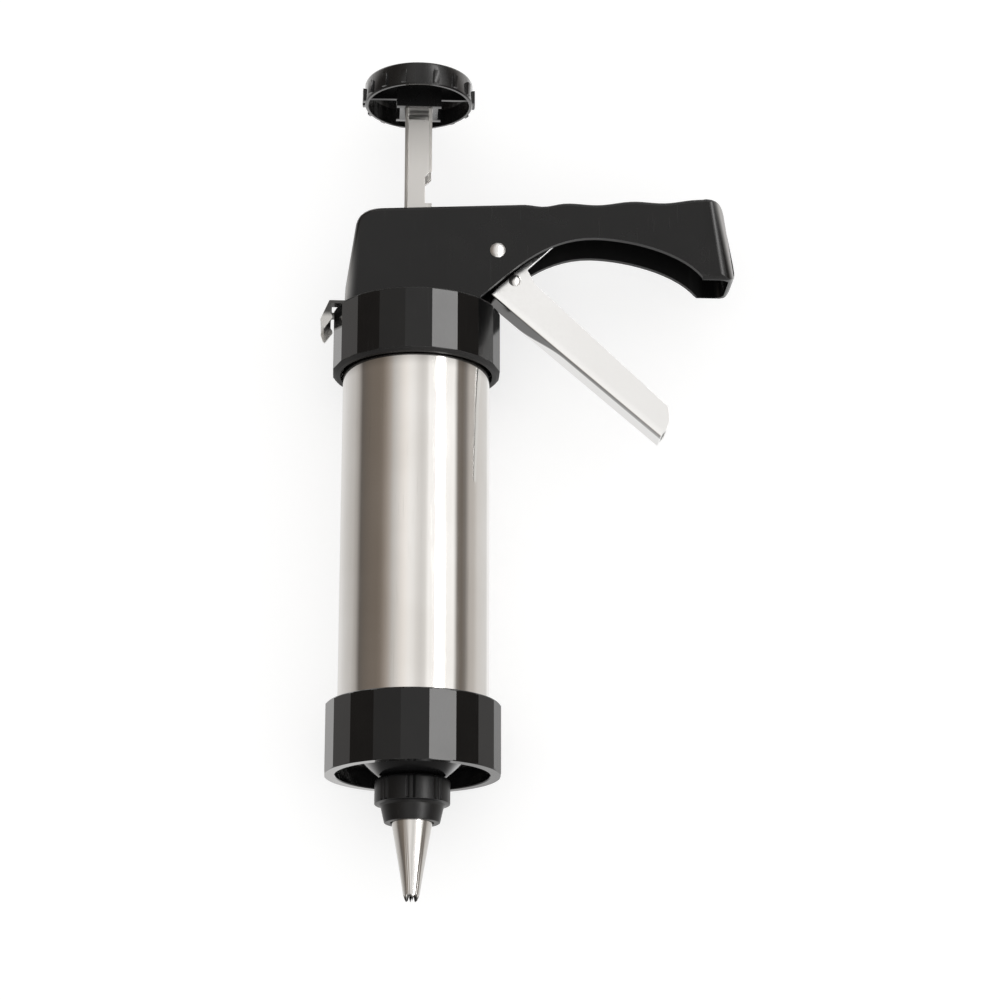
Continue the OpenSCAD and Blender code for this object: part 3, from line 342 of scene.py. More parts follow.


# where a finish, and the shade and highlight painted into it, change over its piece; foot is the height at
# which an edge passes through x
housingFace = {"half": 10.5, "archFrom": (8.0, 12.0), "archTo": (101.0, 98.0),
               "leftX": -24.9, "leftFoot": 161.0, "leftLean": 0.052, "leftWide": 4.2,
               "endX": 106.6, "endFoot": 175.5, "endLean": -0.19, "endWide": 2.2}
leverWeb = {"rootX": 25.168, "rootY": 167.16, "fall": 41.14, "rolls": ((2.8, -20.0), (0.8, -375.0))}


def housingDull(tree, x, y, z):
    # edge bevels and inner sides, in from the two outer faces, over the arch
    inward = fadeNode(tree, absolute(tree, z), housingFace["half"] - 0.02, housingFace["half"] - 0.08)
    return product(tree, inward, fadeNode(tree, x, *housingFace["archFrom"]),
                   fadeNode(tree, x, *housingFace["archTo"]), 0.5)


def leaningEdge(tree, y, edge):
    # x of the left or the end edge of the housing at the height y
    rise = less(tree, y, housingFace[edge + "Foot"] * mm)
    return mathNode(tree, "MULTIPLY_ADD", rise, housingFace[edge + "Lean"], housingFace[edge + "X"] * mm)


def housingPaintedSheen(tree, x, y, z):
    # painted highlight for the sheen of rounded edges: pale along the leaning left edge, wider toward
    # the collar, and along the edge of the handle's end
    inner = summed(tree, leaningEdge(tree, y, "left"), housingFace["leftWide"] * mm)
    grown = fadeNode(tree, less(tree, inner, x), 0.0, housingFace["leftWide"], False)
    left = product(tree, grown, grown, between(tree, grown, 0.3, 1.0), fadeNode(tree, y, 200.0, 165.0),
                   fadeNode(tree, absolute(tree, z), 8.8, 9.8))
    grown = fadeNode(tree, less(tree, x, leaningEdge(tree, y, "end")), 0.0, housingFace["endWide"], False)
    end = product(tree, grown, grown, fadeNode(tree, y, 166.0, 172.0), 0.8,
                  fadeNode(tree, absolute(tree, z), 4.0, 7.0))
    return mathNode(tree, "MAXIMUM", left, end)


def collarDull(tree, x, y, z):
    # lower rim and top edge of the upper collar
    rim = product(tree, fadeNode(tree, y, 137.0, 137.5), fadeNode(tree, y, 139.35, 139.1))
    return mathNode(tree, "MAXIMUM", rim, fadeNode(tree, y, 159.85, 159.95))


def barrelPaintedShadow(tree, x, y, z):
    # painted shadow of the collar rim: dimmer just under the upper collar
    return between(tree, fadeNode(tree, y, 133.5, 139.0), 1.0, 0.6)


def rodPaintedShadow(tree, x, y, z):
    # painted shadow of the knob: greyer toward the knob, with a dark band where the rod enters it
    band = product(tree, fadeNode(tree, y, 233.0, 233.8), fadeNode(tree, y, 235.9, 235.4),
                   fadeNode(tree, absolute(tree, x), 3.6, 3.1))
    grey = between(tree, fadeNode(tree, y, 232.0, 212.0), 0.8, 1.0)
    return product(tree, grey, between(tree, band, 1.0, 0.4))


def rodDull(tree, x, y, z):
    # the flange edges are broader in their shine
    return product(tree, fadeNode(tree, absolute(tree, x), 3.4, 3.6), 0.5)


def leverPlace(tree, x, y):
    # way along the web from its root, and way off the web toward the open side
    across = less(tree, x, leverWeb["rootX"] * mm)
    rise = less(tree, y, leverWeb["rootY"] * mm)
    cosine = math.cos(math.radians(leverWeb["fall"]))
    sine = math.sin(math.radians(leverWeb["fall"]))
    along = summed(tree, product(tree, across, cosine), product(tree, rise, -sine))
    off = summed(tree, product(tree, across, sine), product(tree, rise, cosine))
    return along, off


def leverPaintedReflection(tree, x, y, z):
    # painted dark reflection on the outer face of the web: dark at the root for the black collar, then dark
    # only beside the near flange
    along, off = leverPlace(tree, x, y)
    start = between(tree, fadeNode(tree, along, 12.0, 34.0), -5.6 * mm, 2.2 * mm)
    dark = product(tree, fadeNode(tree, less(tree, z, start), 0.0, 1.2), fadeNode(tree, off, 0.35, 0.1),
                   between(tree, fadeNode(tree, along, 20.0, 76.0, False), 0.93, 0.63))
    return less(tree, 1.0, dark)


def leverForm(tree, x, y, z):
    # the flange leans out to its open edge and rolls over into the web. In metres the height is
    # 0.1 off - 20 (0.0028 - off)^2 - 375 (0.0008 - off)^2, each square only where its bracket is positive
    along, off = leverPlace(tree, x, y)
    total = product(tree, off, 0.1)
    for reach, depth in leverWeb["rolls"]:
        part = mathNode(tree, "MAXIMUM", less(tree, reach * mm, off), 0.0)
        total = summed(tree, total, product(tree, part, part, depth))
    return total


def leverDull(tree, x, y, z):
    # rubbed smoother beside the web
    along, off = leverPlace(tree, x, y)
    return product(tree, fadeNode(tree, off, 3.4, 0.8), -0.1)


def latchShade(tree, x, y, z):
    # dark over the strap, light on its pointed tab
    return between(tree, fadeNode(tree, y, 159.0, 156.5), 0.13, 0.98)


def nozzlePaintedReflection(tree, x, y, z):
    # painted dark reflection on the bent tooth points
    return between(tree, fadeNode(tree, y, -39.9, -38.9), 0.1, 1.0)


plastics = {
    "housingBlack": {"base": 0.003, "gloss": 0.2, "grain": 0.15, "ior": 1.42, "polished": (-8.0, -12.0),
                     "dull": housingDull, "paintedSheen": housingPaintedSheen},
    "collarBlack": {"base": 0.005, "gloss": 0.1, "polished": (10.0, 0.0), "dull": collarDull},
    "knobBlack": {"base": 0.006, "gloss": 0.24},
    "nutBlack": {"base": 0.009, "gloss": 0.3, "grain": 0.2, "ior": 1.38, "coated": False},
}
metals = {
    "barrelAluminium": {"base": (0.90, 0.885, 0.86), "rough": 0.06, "grain": (900.0, 25.0, 900.0),
                        "depth": 0.04, "shade": barrelPaintedShadow},
    "rodAluminium": {"base": (0.675, 0.665, 0.645), "rough": 0.3, "grain": (1400.0, 30.0, 1400.0),
                     "depth": 0.05, "tint": 0.03, "shade": rodPaintedShadow, "dull": rodDull},
    "leverAluminium": {"base": (0.995, 1.0, 0.995), "rough": 0.22, "grain": (900.0, 900.0, 900.0),
                       "depth": 0.03, "tint": 0.02, "marks": 0.1, "shade": leverPaintedReflection, "dull": leverDull,
                       "form": leverForm},
    "latchSheet": {"base": (0.66, 0.655, 0.64), "rough": 0.28, "grain": (600.0, 600.0, 60.0),
                   "depth": 0.12, "shade": latchShade},
    "nozzleTin": {"base": (0.84, 0.83, 0.81), "rough": 0.16, "grain": (700.0, 40.0, 700.0),
                  "depth": 0.06, "shade": nozzlePaintedReflection},
    "rivetBright": {"base": (0.92, 0.92, 0.91), "rough": 0.36, "grain": (900.0, 900.0, 900.0),
                    "depth": 0.05},
    "zincSheet": {"base": (0.62, 0.62, 0.60), "rough": 0.2, "grain": (600.0, 600.0, 60.0),
                  "depth": 0.15},
    "oxideSteel": {"base": (0.035, 0.033, 0.032), "rough": 0.32, "grain": (600.0, 600.0, 60.0),
                   "depth": 0.15},
    "turnedSteel": {"base": (0.62, 0.62, 0.62), "rough": 0.28, "grain": (900.0, 900.0, 900.0),
                    "depth": 0.12},
    "springSteel": {"base": (0.5, 0.5, 0.5), "rough": 0.3, "grain": (900.0, 900.0, 900.0),
                    "depth": 0.12},
    "brassTurned": {"base": (0.78, 0.6, 0.28), "rough": 0.28, "grain": (900.0, 60.0, 900.0),
                    "depth": 0.12},
}
finishes = {name: blackPlastic(name, **values) for name, values in plastics.items()}
finishes.update({name: drawnMetal(name, **values) for name, values in metals.items()})
finishes["funnelDark"] = darkGloss("funnelDark")
finishes["discGrey"] = greyPlastic("discGrey")
finishes["cupRed"] = sealRubber("cupRed")

finishOf = {
    "housing": "housingBlack", "base_plate": "housingBlack", "base_screws": "turnedSteel",
    "upper_collar": "collarBlack", "lower_collar": "collarBlack", "barrel": "barrelAluminium",
    "nozzle_adapter": "funnelDark", "coupler_nut": "nutBlack", "nozzle": "nozzleTin",
    "plunger_rod": "rodAluminium", "knob": "knobBlack", "rod_foot": "housingBlack",
    "piston_disc": "discGrey", "piston_seal": "cupRed", "piston_screw": "turnedSteel",
    "pivot_rivet": "rivetBright", "pivot_bush": "brassTurned", "trigger_lever": "leverAluminium",
    "lever_rivet": "rivetBright", "drive_arms": "oxideSteel", "drive_pin": "turnedSteel",
    "drive_yoke": "zincSheet", "drive_pawl": "zincSheet", "pawl_pin": "turnedSteel",
    "pawl_spring": "springSteel", "return_spring": "springSteel", "release_latch": "latchSheet",
    "latch_pin": "turnedSteel", "latch_spring": "springSteel",
}
for node, thing in nodes.items():
    thing.data.materials.clear()
    thing.data.materials.append(finishes[finishOf[node]])
print("stage: finishes on", len(finishOf), "nodes")


# pieces that take the place of a node

bodyOf = {node: body for body, members in frame["record"]["behaviour"]["bodies"].items()
          for node in members}


def signedVolume(mesh):
    # sum over the triangles of first . (second x third) / 6, negative where the faces point inward
    mesh.calc_loop_triangles()
    corners = np.empty(len(mesh.loop_triangles) * 3, dtype=np.int64)
    mesh.loop_triangles.foreach_get("vertices", corners)
    places = np.empty(len(mesh.vertices) * 3)
    mesh.vertices.foreach_get("co", places)
    first, second, third = places.reshape(-1, 3)[corners].reshape(-1, 3, 3).transpose(1, 0, 2)
    return float(np.einsum("ij,ij->i", first, np.cross(second, third)).sum() / 6)


def smoothFaces(mesh, sharp):
    mesh.polygons.foreach_set("use_smooth", [True] * len(mesh.polygons))
    mesh.set_sharp_from_angle(angle=math.radians(sharp))


def meshFrom(name, points, faces, finish, sharp):
    # closed mesh from points in mm, its faces turned outward
    mesh = bpy.data.meshes.new(name)
    mesh.from_pydata((np.asarray(points) * mm).tolist(), [], faces)
    mesh.update()
    if signedVolume(mesh) < 0:
        mesh.flip_normals()
    smoothFaces(mesh, sharp)
    mesh.materials.append(finishes[finish])
    return mesh


def pieceFor(node, mesh):
    piece = bpy.data.objects.new(mesh.name, mesh)
    bpy.context.scene.collection.objects.link(piece)
    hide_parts(node)
    return piece


def ridingPiece(node, mesh):
    piece = pieceFor(node, mesh)
    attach(piece, bodyOf[node])
    return piece


def nodeReach(node):
    # how far a node reaches out along X, and its lowest and highest height, in mm
    low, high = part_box(node)
    return {"reach": round(high[0] / mm, 3), "low": round(low[1] / mm, 3), "high": round(high[1] / mm, 3)}


def middleOf(node):
    low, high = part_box(node)
    return [round((start + end) / 2 / mm, 2) for start, end in zip(low, high)]


# surfaces turned about the barrel axis

def rounded(corners):
    # closed profile of (radius, height, rounding) in mm: each corner becomes an arc of its rounding
    points = []
    count = len(corners)
    for index, (radius, height, rounding) in enumerate(corners):
        here = np.array((radius, height))
        if rounding == 0:
            points.append(here)
            continue
        back = np.array(corners[index - 1][:2]) - here
        ahead = np.array(corners[(index + 1) % count][:2]) - here
        back = back / np.linalg.norm(back)
        ahead = ahead / np.linalg.norm(ahead)
        half = 0.5 * math.acos(max(-1.0, min(1.0, float(back @ ahead))))
        reach = rounding / math.tan(half)
        middle = here + (back + ahead) / np.linalg.norm(back + ahead) * rounding / math.sin(half)
        start = here + back * reach - middle
        sweep = math.pi - 2 * half
        side = 1.0 if start[1] * back[0] > start[0] * back[1] else -1.0
        steps = max(2, math.ceil(math.degrees(sweep) / 10))
        for step in range(steps + 1):
            turn = side * sweep * step / steps
            spin = np.array(((math.cos(turn), -math.sin(turn)), (math.sin(turn), math.cos(turn))))
            points.append(middle + spin @ start)
    return np.array(points)


def divided(points, longest, outside=0.0, coarse=12.0):
    # the closed profile with its sides cut into equal steps no longer than longest, or than coarse
    # where a side isn't all outside the radius given
    rows = []
    for first, second in zip(points, np.roll(points, -1, axis=0)):
        limit = longest if min(first[0], second[0]) > outside else coarse
        steps = max(1, math.ceil(float(np.linalg.norm(second - first)) / limit))
        rows.append(first + (second - first) * (np.arange(steps) / steps)[:, None])
    return np.concatenate(rows)


def gridFaces(rows, columns, closed=True):
    # quads of a grid that closes round its columns, and where closed also from the last row to the first
    row = np.arange(rows if closed else rows - 1)[:, None]
    column = np.arange(columns)[None, :]
    nextRow = (row + 1) % rows
    nextColumn = (column + 1) % columns
    quads = np.stack((row * columns + column, row * columns + nextColumn,
                      nextRow * columns + nextColumn, nextRow * columns + column), axis=-1)
    return quads.reshape(-1, 4).tolist()


def turnedPiece(name, node, profile, columns, shape, sharp=25, offset=0.0):
    # radius and height of the profile at each angle, changed by shape(radius, height, angle):
    # x = radius cos angle, y = height, z = -radius sin angle. offset shifts the columns by its
    # share of the way to the next
    angle = (2 * math.pi * (np.arange(columns) + offset) / columns)[None, :] + np.zeros((len(profile), 1))
    radius = np.repeat(profile[:, :1], columns, axis=1)
    height = np.repeat(profile[:, 1:], columns, axis=1)
    radius, height = shape(radius, height, angle)
    points = np.stack((radius * np.cos(angle), height, -radius * np.sin(angle)), axis=-1)
    faces = gridFaces(len(profile), columns)
    return ridingPiece(node, meshFrom(name, points.reshape(-1, 3), faces, finishOf[node], sharp))


def smoothStep(value, low, high):
    share = np.clip((value - low) / (high - low), 0.0, 1.0)
    return share * share * (3 - 2 * share)


def threadWave(height, angle, lead):
    # rounded ridge of a screw thread, 0 in the valley and 1 on the crest
    return 0.5 + 0.5 * np.cos(2 * math.pi * (height / lead - angle / (2 * math.pi)))


def turnedFrom(angle, first, count):
    # turn from the nearest of count places round the axis, of which one is at first
    step = 2 * math.pi / count
    return np.mod(angle - math.radians(first) + step / 2, step) - step / 2


# barrel: thin tube with a rolled thread band at each end
barrel = {**nodeReach("barrel"), "wall": 1.0, "bandOut": 0.6, "lowBand": 8.0, "highBand": 13.0,
          "step": 0.6, "lowLead": 5.0, "highLead": 4.0, "valley": 0.45}
tube = barrel["reach"] - barrel["bandOut"]
bandEdge = tube + 0.5 * barrel["bandOut"]


def barrelShape(radius, height, angle):
    # radius less valley (1 - thread wave) on the two bands, fading out at the ends of the tube
    upper = height > (barrel["low"] + barrel["high"]) / 2
    wave = np.where(upper, threadWave(height, angle, barrel["highLead"]),
                    threadWave(height, angle, barrel["lowLead"]))
    ends = smoothStep(height, barrel["low"] + 0.3, barrel["low"] + 1.2) * (
        1 - smoothStep(height, barrel["high"] - 1.2, barrel["high"] - 0.3))
    return radius - np.where(radius > bandEdge, barrel["valley"] * (1 - wave) * ends, 0.0), height


def barrelProfile():
    bore = tube - barrel["wall"]
    band = barrel["reach"]
    lowBand = barrel["low"] + barrel["lowBand"]
    highBand = barrel["high"] - barrel["highBand"]
    return rounded([
        (bore, barrel["low"], 0.4), (band, barrel["low"], 0.4), (band, lowBand, 0.3),
        (tube, lowBand + barrel["step"], 0.6), (tube, highBand - barrel["step"], 0.6),
        (band, highBand, 0.3), (band, barrel["high"], 0.4), (bore, barrel["high"], 0.4)])


turnedPiece("barrelTube", "barrel", divided(barrelProfile(), 0.3, bandEdge), 192, barrelShape)


# collars: twenty flats outside, a shallow screw thread inside
upperCollar = {**nodeReach("upper_collar"), "rimIn": 1.4, "rimHigh": 1.1, "cut": 0.6, "lipBore": 24.0,
               "lipThick": 2.5, "thread": (140.5, 157.0), "lead": 4.0}
lowerCollar = {**nodeReach("lower_collar"), "rimIn": 0.3, "rimHigh": 0.3, "cut": 0.6, "mouth": 25.4,
               "mouthCut": 0.25, "lipBore": 21.35, "lipLow": 7.5, "lipThick": 2.4,
               "thread": (11.0, 22.6), "lead": 5.0}
flats = 20
collarBore = barrel["reach"] + 0.3


def cornerOf(collar):
    # radius at the corners between the flats
    return round(collar["reach"] / math.cos(math.pi / flats), 2)


def collarPiece(name, node, collar, profile):
    def collarShape(radius, height, angle):
        # outside, no more than corner cos(half a flat) / cos(turn from the middle of the flat);
        # in the bore, radius less 0.16 times the thread wave
        flat = cornerOf(collar) * math.cos(math.pi / flats) / np.cos(turnedFrom(angle, -90, flats))
        outside = radius > collarBore + 0.9
        low, high = collar["thread"]
        threaded = (np.abs(radius - collarBore) < 0.02) & (height > low) & (height < high)
        ridge = 0.16 * threadWave(height, angle, collar["lead"])
        return np.where(outside, np.minimum(radius, flat), radius - np.where(threaded, ridge, 0.0)), height

    return turnedPiece(name, node, divided(rounded(profile), 0.45), 180, collarShape, 12, 0.5)


def upperCollarProfile():
    collar = upperCollar
    corner = cornerOf(collar)
    lip = collar["high"] - collar["lipThick"]
    return [(collarBore, collar["low"], 0.2), (corner - collar["rimIn"], collar["low"], 0.25),
            (corner, collar["low"] + collar["rimHigh"], 0.0), (corner, collar["high"] - collar["cut"], 0.0),
            (corner - collar["cut"], collar["high"], 0.3), (collar["lipBore"], collar["high"], 0.4),
            (collar["lipBore"], lip, 0.0), (collarBore, lip, 0.3)]


def lowerCollarProfile():
    collar = lowerCollar
    corner = cornerOf(collar)
    rimTop = collar["low"] + collar["rimHigh"]
    lipTop = collar["lipLow"] + collar["lipThick"]
    return [(collar["lipBore"], collar["lipLow"], 0.4), (collar["mouth"], collar["lipLow"], 0.6),
            (collar["mouth"], rimTop, 0.0), (collar["mouth"] + collar["mouthCut"], collar["low"], 0.12),
            (corner - collar["rimIn"], collar["low"], 0.2), (corner, rimTop, 0.0),
            (corner, collar["high"] - collar["cut"], 0.0), (corner - collar["cut"], collar["high"], 0.25),
            (collarBore, collar["high"], 0.25), (collarBore, lipTop, 0.3),
            (collar["lipBore"], lipTop, 0.4)]


collarPiece("upperCollarRing", "upper_collar", upperCollar, upperCollarProfile())
collarPiece("lowerCollarRing", "lower_collar", lowerCollar, lowerCollarProfile())


# funnel adapter: threaded neck, cone and plate under the barrel
funnel = {**nodeReach("nozzle_adapter"), "bore": 8.0, "boreHigh": 0.6, "neck": 9.6, "neckHigh": -0.6,
          "cone": 11.33, "coneLow": 0.0, "mouth": 21.0, "mouthLow": 7.27, "plateThick": 2.4,
          "cup": 19.4, "cupLow": 8.07, "threadHigh": -1.6, "lead": 3.5, "valley": 0.4}


def funnelShape(radius, height, angle):
    # radius less valley (1 - thread wave) on the neck, fading out at both ends of the thread
    onNeck = (np.abs(radius - funnel["neck"]) < 0.02) & (height < funnel["threadHigh"] + 0.6)
    ends = smoothStep(height, funnel["low"] + 0.2, funnel["low"] + 1.0) * (
        1 - smoothStep(height, funnel["threadHigh"] - 0.6, funnel["threadHigh"] + 0.2))
    wave = threadWave(height, angle, funnel["lead"])
    return radius - np.where(onNeck, funnel["valley"] * (1 - wave) * ends, 0.0), height


def funnelProfile():
    plateLow = funnel["high"] - funnel["plateThick"]
    return rounded([
        (funnel["bore"], funnel["low"], 0.3), (funnel["neck"], funnel["low"], 0.3),
        (funnel["neck"], funnel["neckHigh"], 0.5), (funnel["cone"], funnel["coneLow"], 0.5),
        (funnel["mouth"], funnel["mouthLow"], 1.2), (funnel["mouth"], plateLow, 0.4),
        (funnel["reach"], plateLow, 0.3), (funnel["reach"], funnel["high"], 0.3),
        (funnel["cup"], funnel["high"], 0.5), (funnel["cup"], funnel["cupLow"], 1.5),
        (funnel["bore"], funnel["boreHigh"], 1.5)])


turnedPiece("funnelAdapter", "nozzle_adapter", divided(funnelProfile(), 0.35), 160, funnelShape)


# coupler nut: bars between soft grooves, waist and cone
nut = {**nodeReach("coupler_nut"), "ribs": 8, "turn": -93.5, "groove": 4.8, "wide": 1.7, "deep": 0.55,
       "bar": 12.4, "barLow": -9.3, "step": 11.0, "stepLow": -9.6, "waist": 10.3, "waistHigh": -10.3,
       "end": 9.1, "hole": 7.05, "seat": 7.85, "seatLow": -10.6, "bore": 9.9, "boreLow": -10.45}


def nutShape(radius, height, angle):
    # radius less deep e^(-(way from the groove / wide)^2) on the bars, a groove on each side of a rib
    fromGroove = np.abs(turnedFrom(angle, nut["turn"], nut["ribs"])) - math.radians(nut["groove"])
    groove = nut["deep"] * np.exp(-(fromGroove / math.radians(nut["wide"])) ** 2)
    onBars = (radius > nut["step"]) & (height > nut["barLow"] - 0.2)
    ends = smoothStep(height, nut["barLow"] - 0.1, nut["barLow"] + 0.6)
    return radius - np.where(onBars, groove * ends, 0.0), height


nutProfile = rounded([
    (nut["bore"], nut["high"], 0.3), (nut["bar"], nut["high"], 0.9), (nut["bar"], nut["barLow"], 0.2),
    (nut["step"], nut["stepLow"], 0.1), (nut["waist"], nut["waistHigh"], 0.1),
    (nut["end"], nut["low"], 0.45), (nut["hole"], nut["low"], 0.3),
    (nut["seat"], nut["seatLow"], 0.1), (nut["bore"], nut["boreLow"], 0.2)])
turnedPiece("couplerNut", "coupler_nut", divided(nutProfile, 0.4), 320, nutShape)


# nozzle: rolled sheet cone pressed to six flutes with bent teeth
nozzle = {**nodeReach("nozzle"), "teeth": 6, "turn": -81.0, "flangeThick": 1.0, "waist": 7.5,
          "toothLong": 2.1, "toothRadius": 3.0, "tipRadius": 2.1, "bend": 1.6, "wall": 0.45,
          "gapRise": 3.0, "flat": 0.75, "fluted": (14.0, 36.0), "crease": 0.3, "creaseWide": 0.6,
          "creased": (12.0, 34.0)}
toothTop = nozzle["low"] + nozzle["toothLong"]


def nozzleProfile():
    # flange, outer side down the cone and the bent teeth, then the inner side back, one wall further in
    under = nozzle["high"] - nozzle["flangeThick"]
    down = np.linspace(0.0, 1.0, 70)
    cone = np.stack((nozzle["waist"] + (nozzle["toothRadius"] - nozzle["waist"]) * down,
                     under + (toothTop - under) * down), axis=-1)
    down = np.linspace(0.0, 1.0, 12)[1:]
    teeth = np.stack((nozzle["toothRadius"]
                      + (nozzle["tipRadius"] - nozzle["toothRadius"]) * down ** nozzle["bend"],
                      toothTop + (nozzle["low"] - toothTop) * down), axis=-1)
    outside = np.concatenate((cone, teeth))
    inside = outside[::-1] - np.array((nozzle["wall"], 0.0))
    flange = rounded([(nozzle["waist"] - nozzle["wall"], nozzle["high"], 0.2),
                      (nozzle["reach"], nozzle["high"], 0.25), (nozzle["reach"], under, 0.25),
                      (nozzle["waist"], under, 0.0)])[:-1]
    return np.concatenate((flange, outside, inside[:-1]))


def nozzleShape(radius, height, angle):
    # the circle is flattened toward a hexagon down the cone, with a crease at each fold that falls
    # off as e^(-(way round / creaseWide)^2), and between the teeth the edge rises to gapRise
    half = math.pi / nozzle["teeth"]
    turned = np.abs(turnedFrom(angle, nozzle["turn"], nozzle["teeth"]))
    flat = math.cos(half) / np.cos(turned)
    fluted = radius * (1 - nozzle["flat"] * smoothStep(-height, *nozzle["fluted"]) * (1 - flat))
    wayRound = (half - turned) * radius
    crease = nozzle["crease"] * np.exp(-(wayRound / nozzle["creaseWide"]) ** 2)
    crease = crease * smoothStep(-height, *nozzle["creased"])
    toothed = np.clip((toothTop - height) / nozzle["toothLong"], 0.0, 1.0)
    return fluted - crease, height + nozzle["gapRise"] * turned / half * toothed


turnedPiece("nozzleTube", "nozzle", nozzleProfile(), 240, nozzleShape, 75)
print("stage: turned pieces")


# springs: round wire wound about an axis, with straight legs. Two are wound round a pin, with their
# turns centred on its middle; the latch's stands upright in the space of its node
returnSpring = {"round": "pivot_rivet", "radius": 3.7, "wire": 0.42, "length": 4.0, "turns": 3,
                "lowLeg": 14.5, "highLeg": 10.5}
pawlSpring = {"round": "pawl_pin", "radius": 1.9, "wire": 0.3, "length": 4.2, "turns": 4,
              "lowLeg": 2.2, "highLeg": 0.0}
latchSpring = {"round": None, "radius": 2.6, "wire": 0.35, "length": 8.3, "turns": 7,
               "lowLeg": 0.0, "highLeg": 0.0}
stepsPerTurn = 24
wireSides = 12


def springMesh(name, node, spring):
    # centre line radius cos turn, radius sin turn, length times the share of all turns, and round it the
    # wire's circle in the plane across the line
    turn = 2 * math.pi * np.arange(stepsPerTurn * spring["turns"] + 1) / stepsPerTurn
    line = np.stack((spring["radius"] * np.cos(turn), spring["radius"] * np.sin(turn),
                     spring["length"] * turn / turn[-1]), axis=-1)
    if spring["lowLeg"]:
        line = np.concatenate((line[:1] - np.array((0.0, spring["lowLeg"], 0.0)), line))
    if spring["highLeg"]:
        line = np.concatenate((line, line[-1:] + np.array((0.0, spring["highLeg"], 0.0))))
    along = np.gradient(line, axis=0)
    along /= np.linalg.norm(along, axis=1)[:, None]
    side = np.cross(along, np.array((0.0, 0.0, 1.0)))
    side /= np.linalg.norm(side, axis=1)[:, None]
    rise = np.cross(side, along)
    around = (2 * math.pi * np.arange(wireSides) / wireSides)[None, :, None]
    points = line[:, None, :] + spring["wire"] * (np.cos(around) * side[:, None, :]
                                                  + np.sin(around) * rise[:, None, :])
    if spring["round"]:
        x, y, z = middleOf(spring["round"])
        start = (x, y, -spring["length"] / 2)
    else:
        points = np.stack((points[..., 0], points[..., 2], -points[..., 1]), axis=-1)
        x, y, z = middleOf(node)
        start = (x, round(y - spring["length"] / 2, 2), z)
    faces = gridFaces(len(line), wireSides, False)
    lastRow = wireSides * (len(line) - 1)
    faces += [list(range(wireSides - 1, -1, -1)), list(range(lastRow, lastRow + wireSides))]
    return meshFrom(name, points.reshape(-1, 3) + np.array(start), faces, finishOf[node], 40)


def pressedLatchCoil():
    # the coil stays fixed where it is placed in the housing and does not follow the latch
    coil = pieceFor("latch_spring", springMesh("latchCoil", "latch_spring", latchSpring))
    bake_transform(coil)


pressedLatchCoil()
ridingPiece("return_spring", springMesh("returnCoil", "return_spring", returnSpring))
ridingPiece("pawl_spring", springMesh("pawlCoil", "pawl_spring", pawlSpring))
print("stage: springs")


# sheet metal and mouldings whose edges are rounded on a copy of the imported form, by the width given
softEdges = {"trigger_lever": ("leverChannel", 0.3), "plunger_rod": ("rodChannel", 0.15),
             "release_latch": ("latchStrap", 0.2), "drive_yoke": ("yokeSheet", 0.2),
             "drive_pawl": ("pawlSheet", 0.12), "drive_arms": ("armPlates", 0.15),
             "knob": ("endKnob", 0.15)}
softening = {"joined": 0.001, "flat": 1.0, "bevelled": 35.0, "sharp": 40.0, "segments": 2}


def softened(node, name, width):
    mesh = nodes[node].data.copy()
    mesh.name = name
    shape = bmesh.new()
    shape.from_mesh(mesh)
    bmesh.ops.remove_doubles(shape, verts=shape.verts, dist=softening["joined"] * mm)
    bmesh.ops.dissolve_limit(shape, angle_limit=math.radians(softening["flat"]), verts=shape.verts,
                             edges=shape.edges)
    shape.to_mesh(mesh)
    shape.free()
    smoothFaces(mesh, softening["sharp"])
    bevel = ridingPiece(node, mesh).modifiers.new("softEdges", "BEVEL")
    bevel.width = width * mm
    bevel.segments = softening["segments"]
    bevel.limit_method = "ANGLE"
    bevel.angle_limit = math.radians(softening["bevelled"])
    bevel.harden_normals = True


for node, (name, width) in softEdges.items():
    softened(node, name, width)
print("stage: softened pieces")


# studio: level is the brightness that glossy rays see at each angle round the barrel axis, where 0
# faces the viewer and plus is to the handle side; warmth is how brown that band is
studio = {
    "bands": ((-180, 0.80, 0.1), (-150, 0.76, 0.1), (-123, 0.60, 0.2), (-111, 0.535, 0.3),
              (-101, 0.39, 0.45), (-93, 0.130, 0.9), (-83, 0.150, 1.2), (-72, 0.170, 1.3),
              (-60, 0.180, 1.35), (-54, 0.205, 1.3), (-47, 0.297, 1.1), (-40.5, 0.416, 0.75),
              (-34, 0.564, 0.3), (-28, 0.682, 0.3), (-21.5, 0.82, 0.35), (-15.5, 0.914, 0.3),
              (-9, 0.944, 0.15), (-3, 0.88, 0.15), (3, 0.76, 0.2), (9, 0.70, 0.2), (15, 0.76, 0.2),
              (20, 1.05, 0.1), (61, 1.05, 0.1), (68, 0.20, 0.9), (76, 0.165, 1.15), (83, 0.21, 0.7),
              (92, 0.50, 0.5), (102, 0.54, 0.45), (113, 0.69, 0.25), (143, 0.73, 0.1),
              (155, 0.97, 0.0), (180, 0.80, 0.1)),
    "stripFrom": (30, 34), "stripTo": (42, 46), "stripTall": (0.75, 0.9), "stripExtra": 5.8,
    "evenColour": (1.0, 0.995, 0.985, 1.0), "evenStrength": 0.9, "beyondFloor": (0.8, 0.8, 0.8, 1.0),
}


def bandColours(tree, turn):
    bands = tree.nodes.new("ShaderNodeValToRGB")
    tree.links.new(turn, bands.inputs["Fac"])
    ramp = bands.color_ramp
    for degrees, level, warmth in studio["bands"]:
        position = degrees / 360 + 0.5
        if position == 0:
            element = ramp.elements[0]
        elif position == 1:
            element = ramp.elements[-1]
        else:
            element = ramp.elements.new(position)
        element.color = (level, level * (1 - 0.12 * warmth), level * (1 - 0.22 * warmth), 1.0)
    return bands.outputs["Color"]


def background(tree, colour, strength):
    node = tree.nodes.new("ShaderNodeBackground")
    feed(tree, node.inputs["Color"], colour)
    feed(tree, node.inputs["Strength"], strength)
    return node.outputs["Background"]


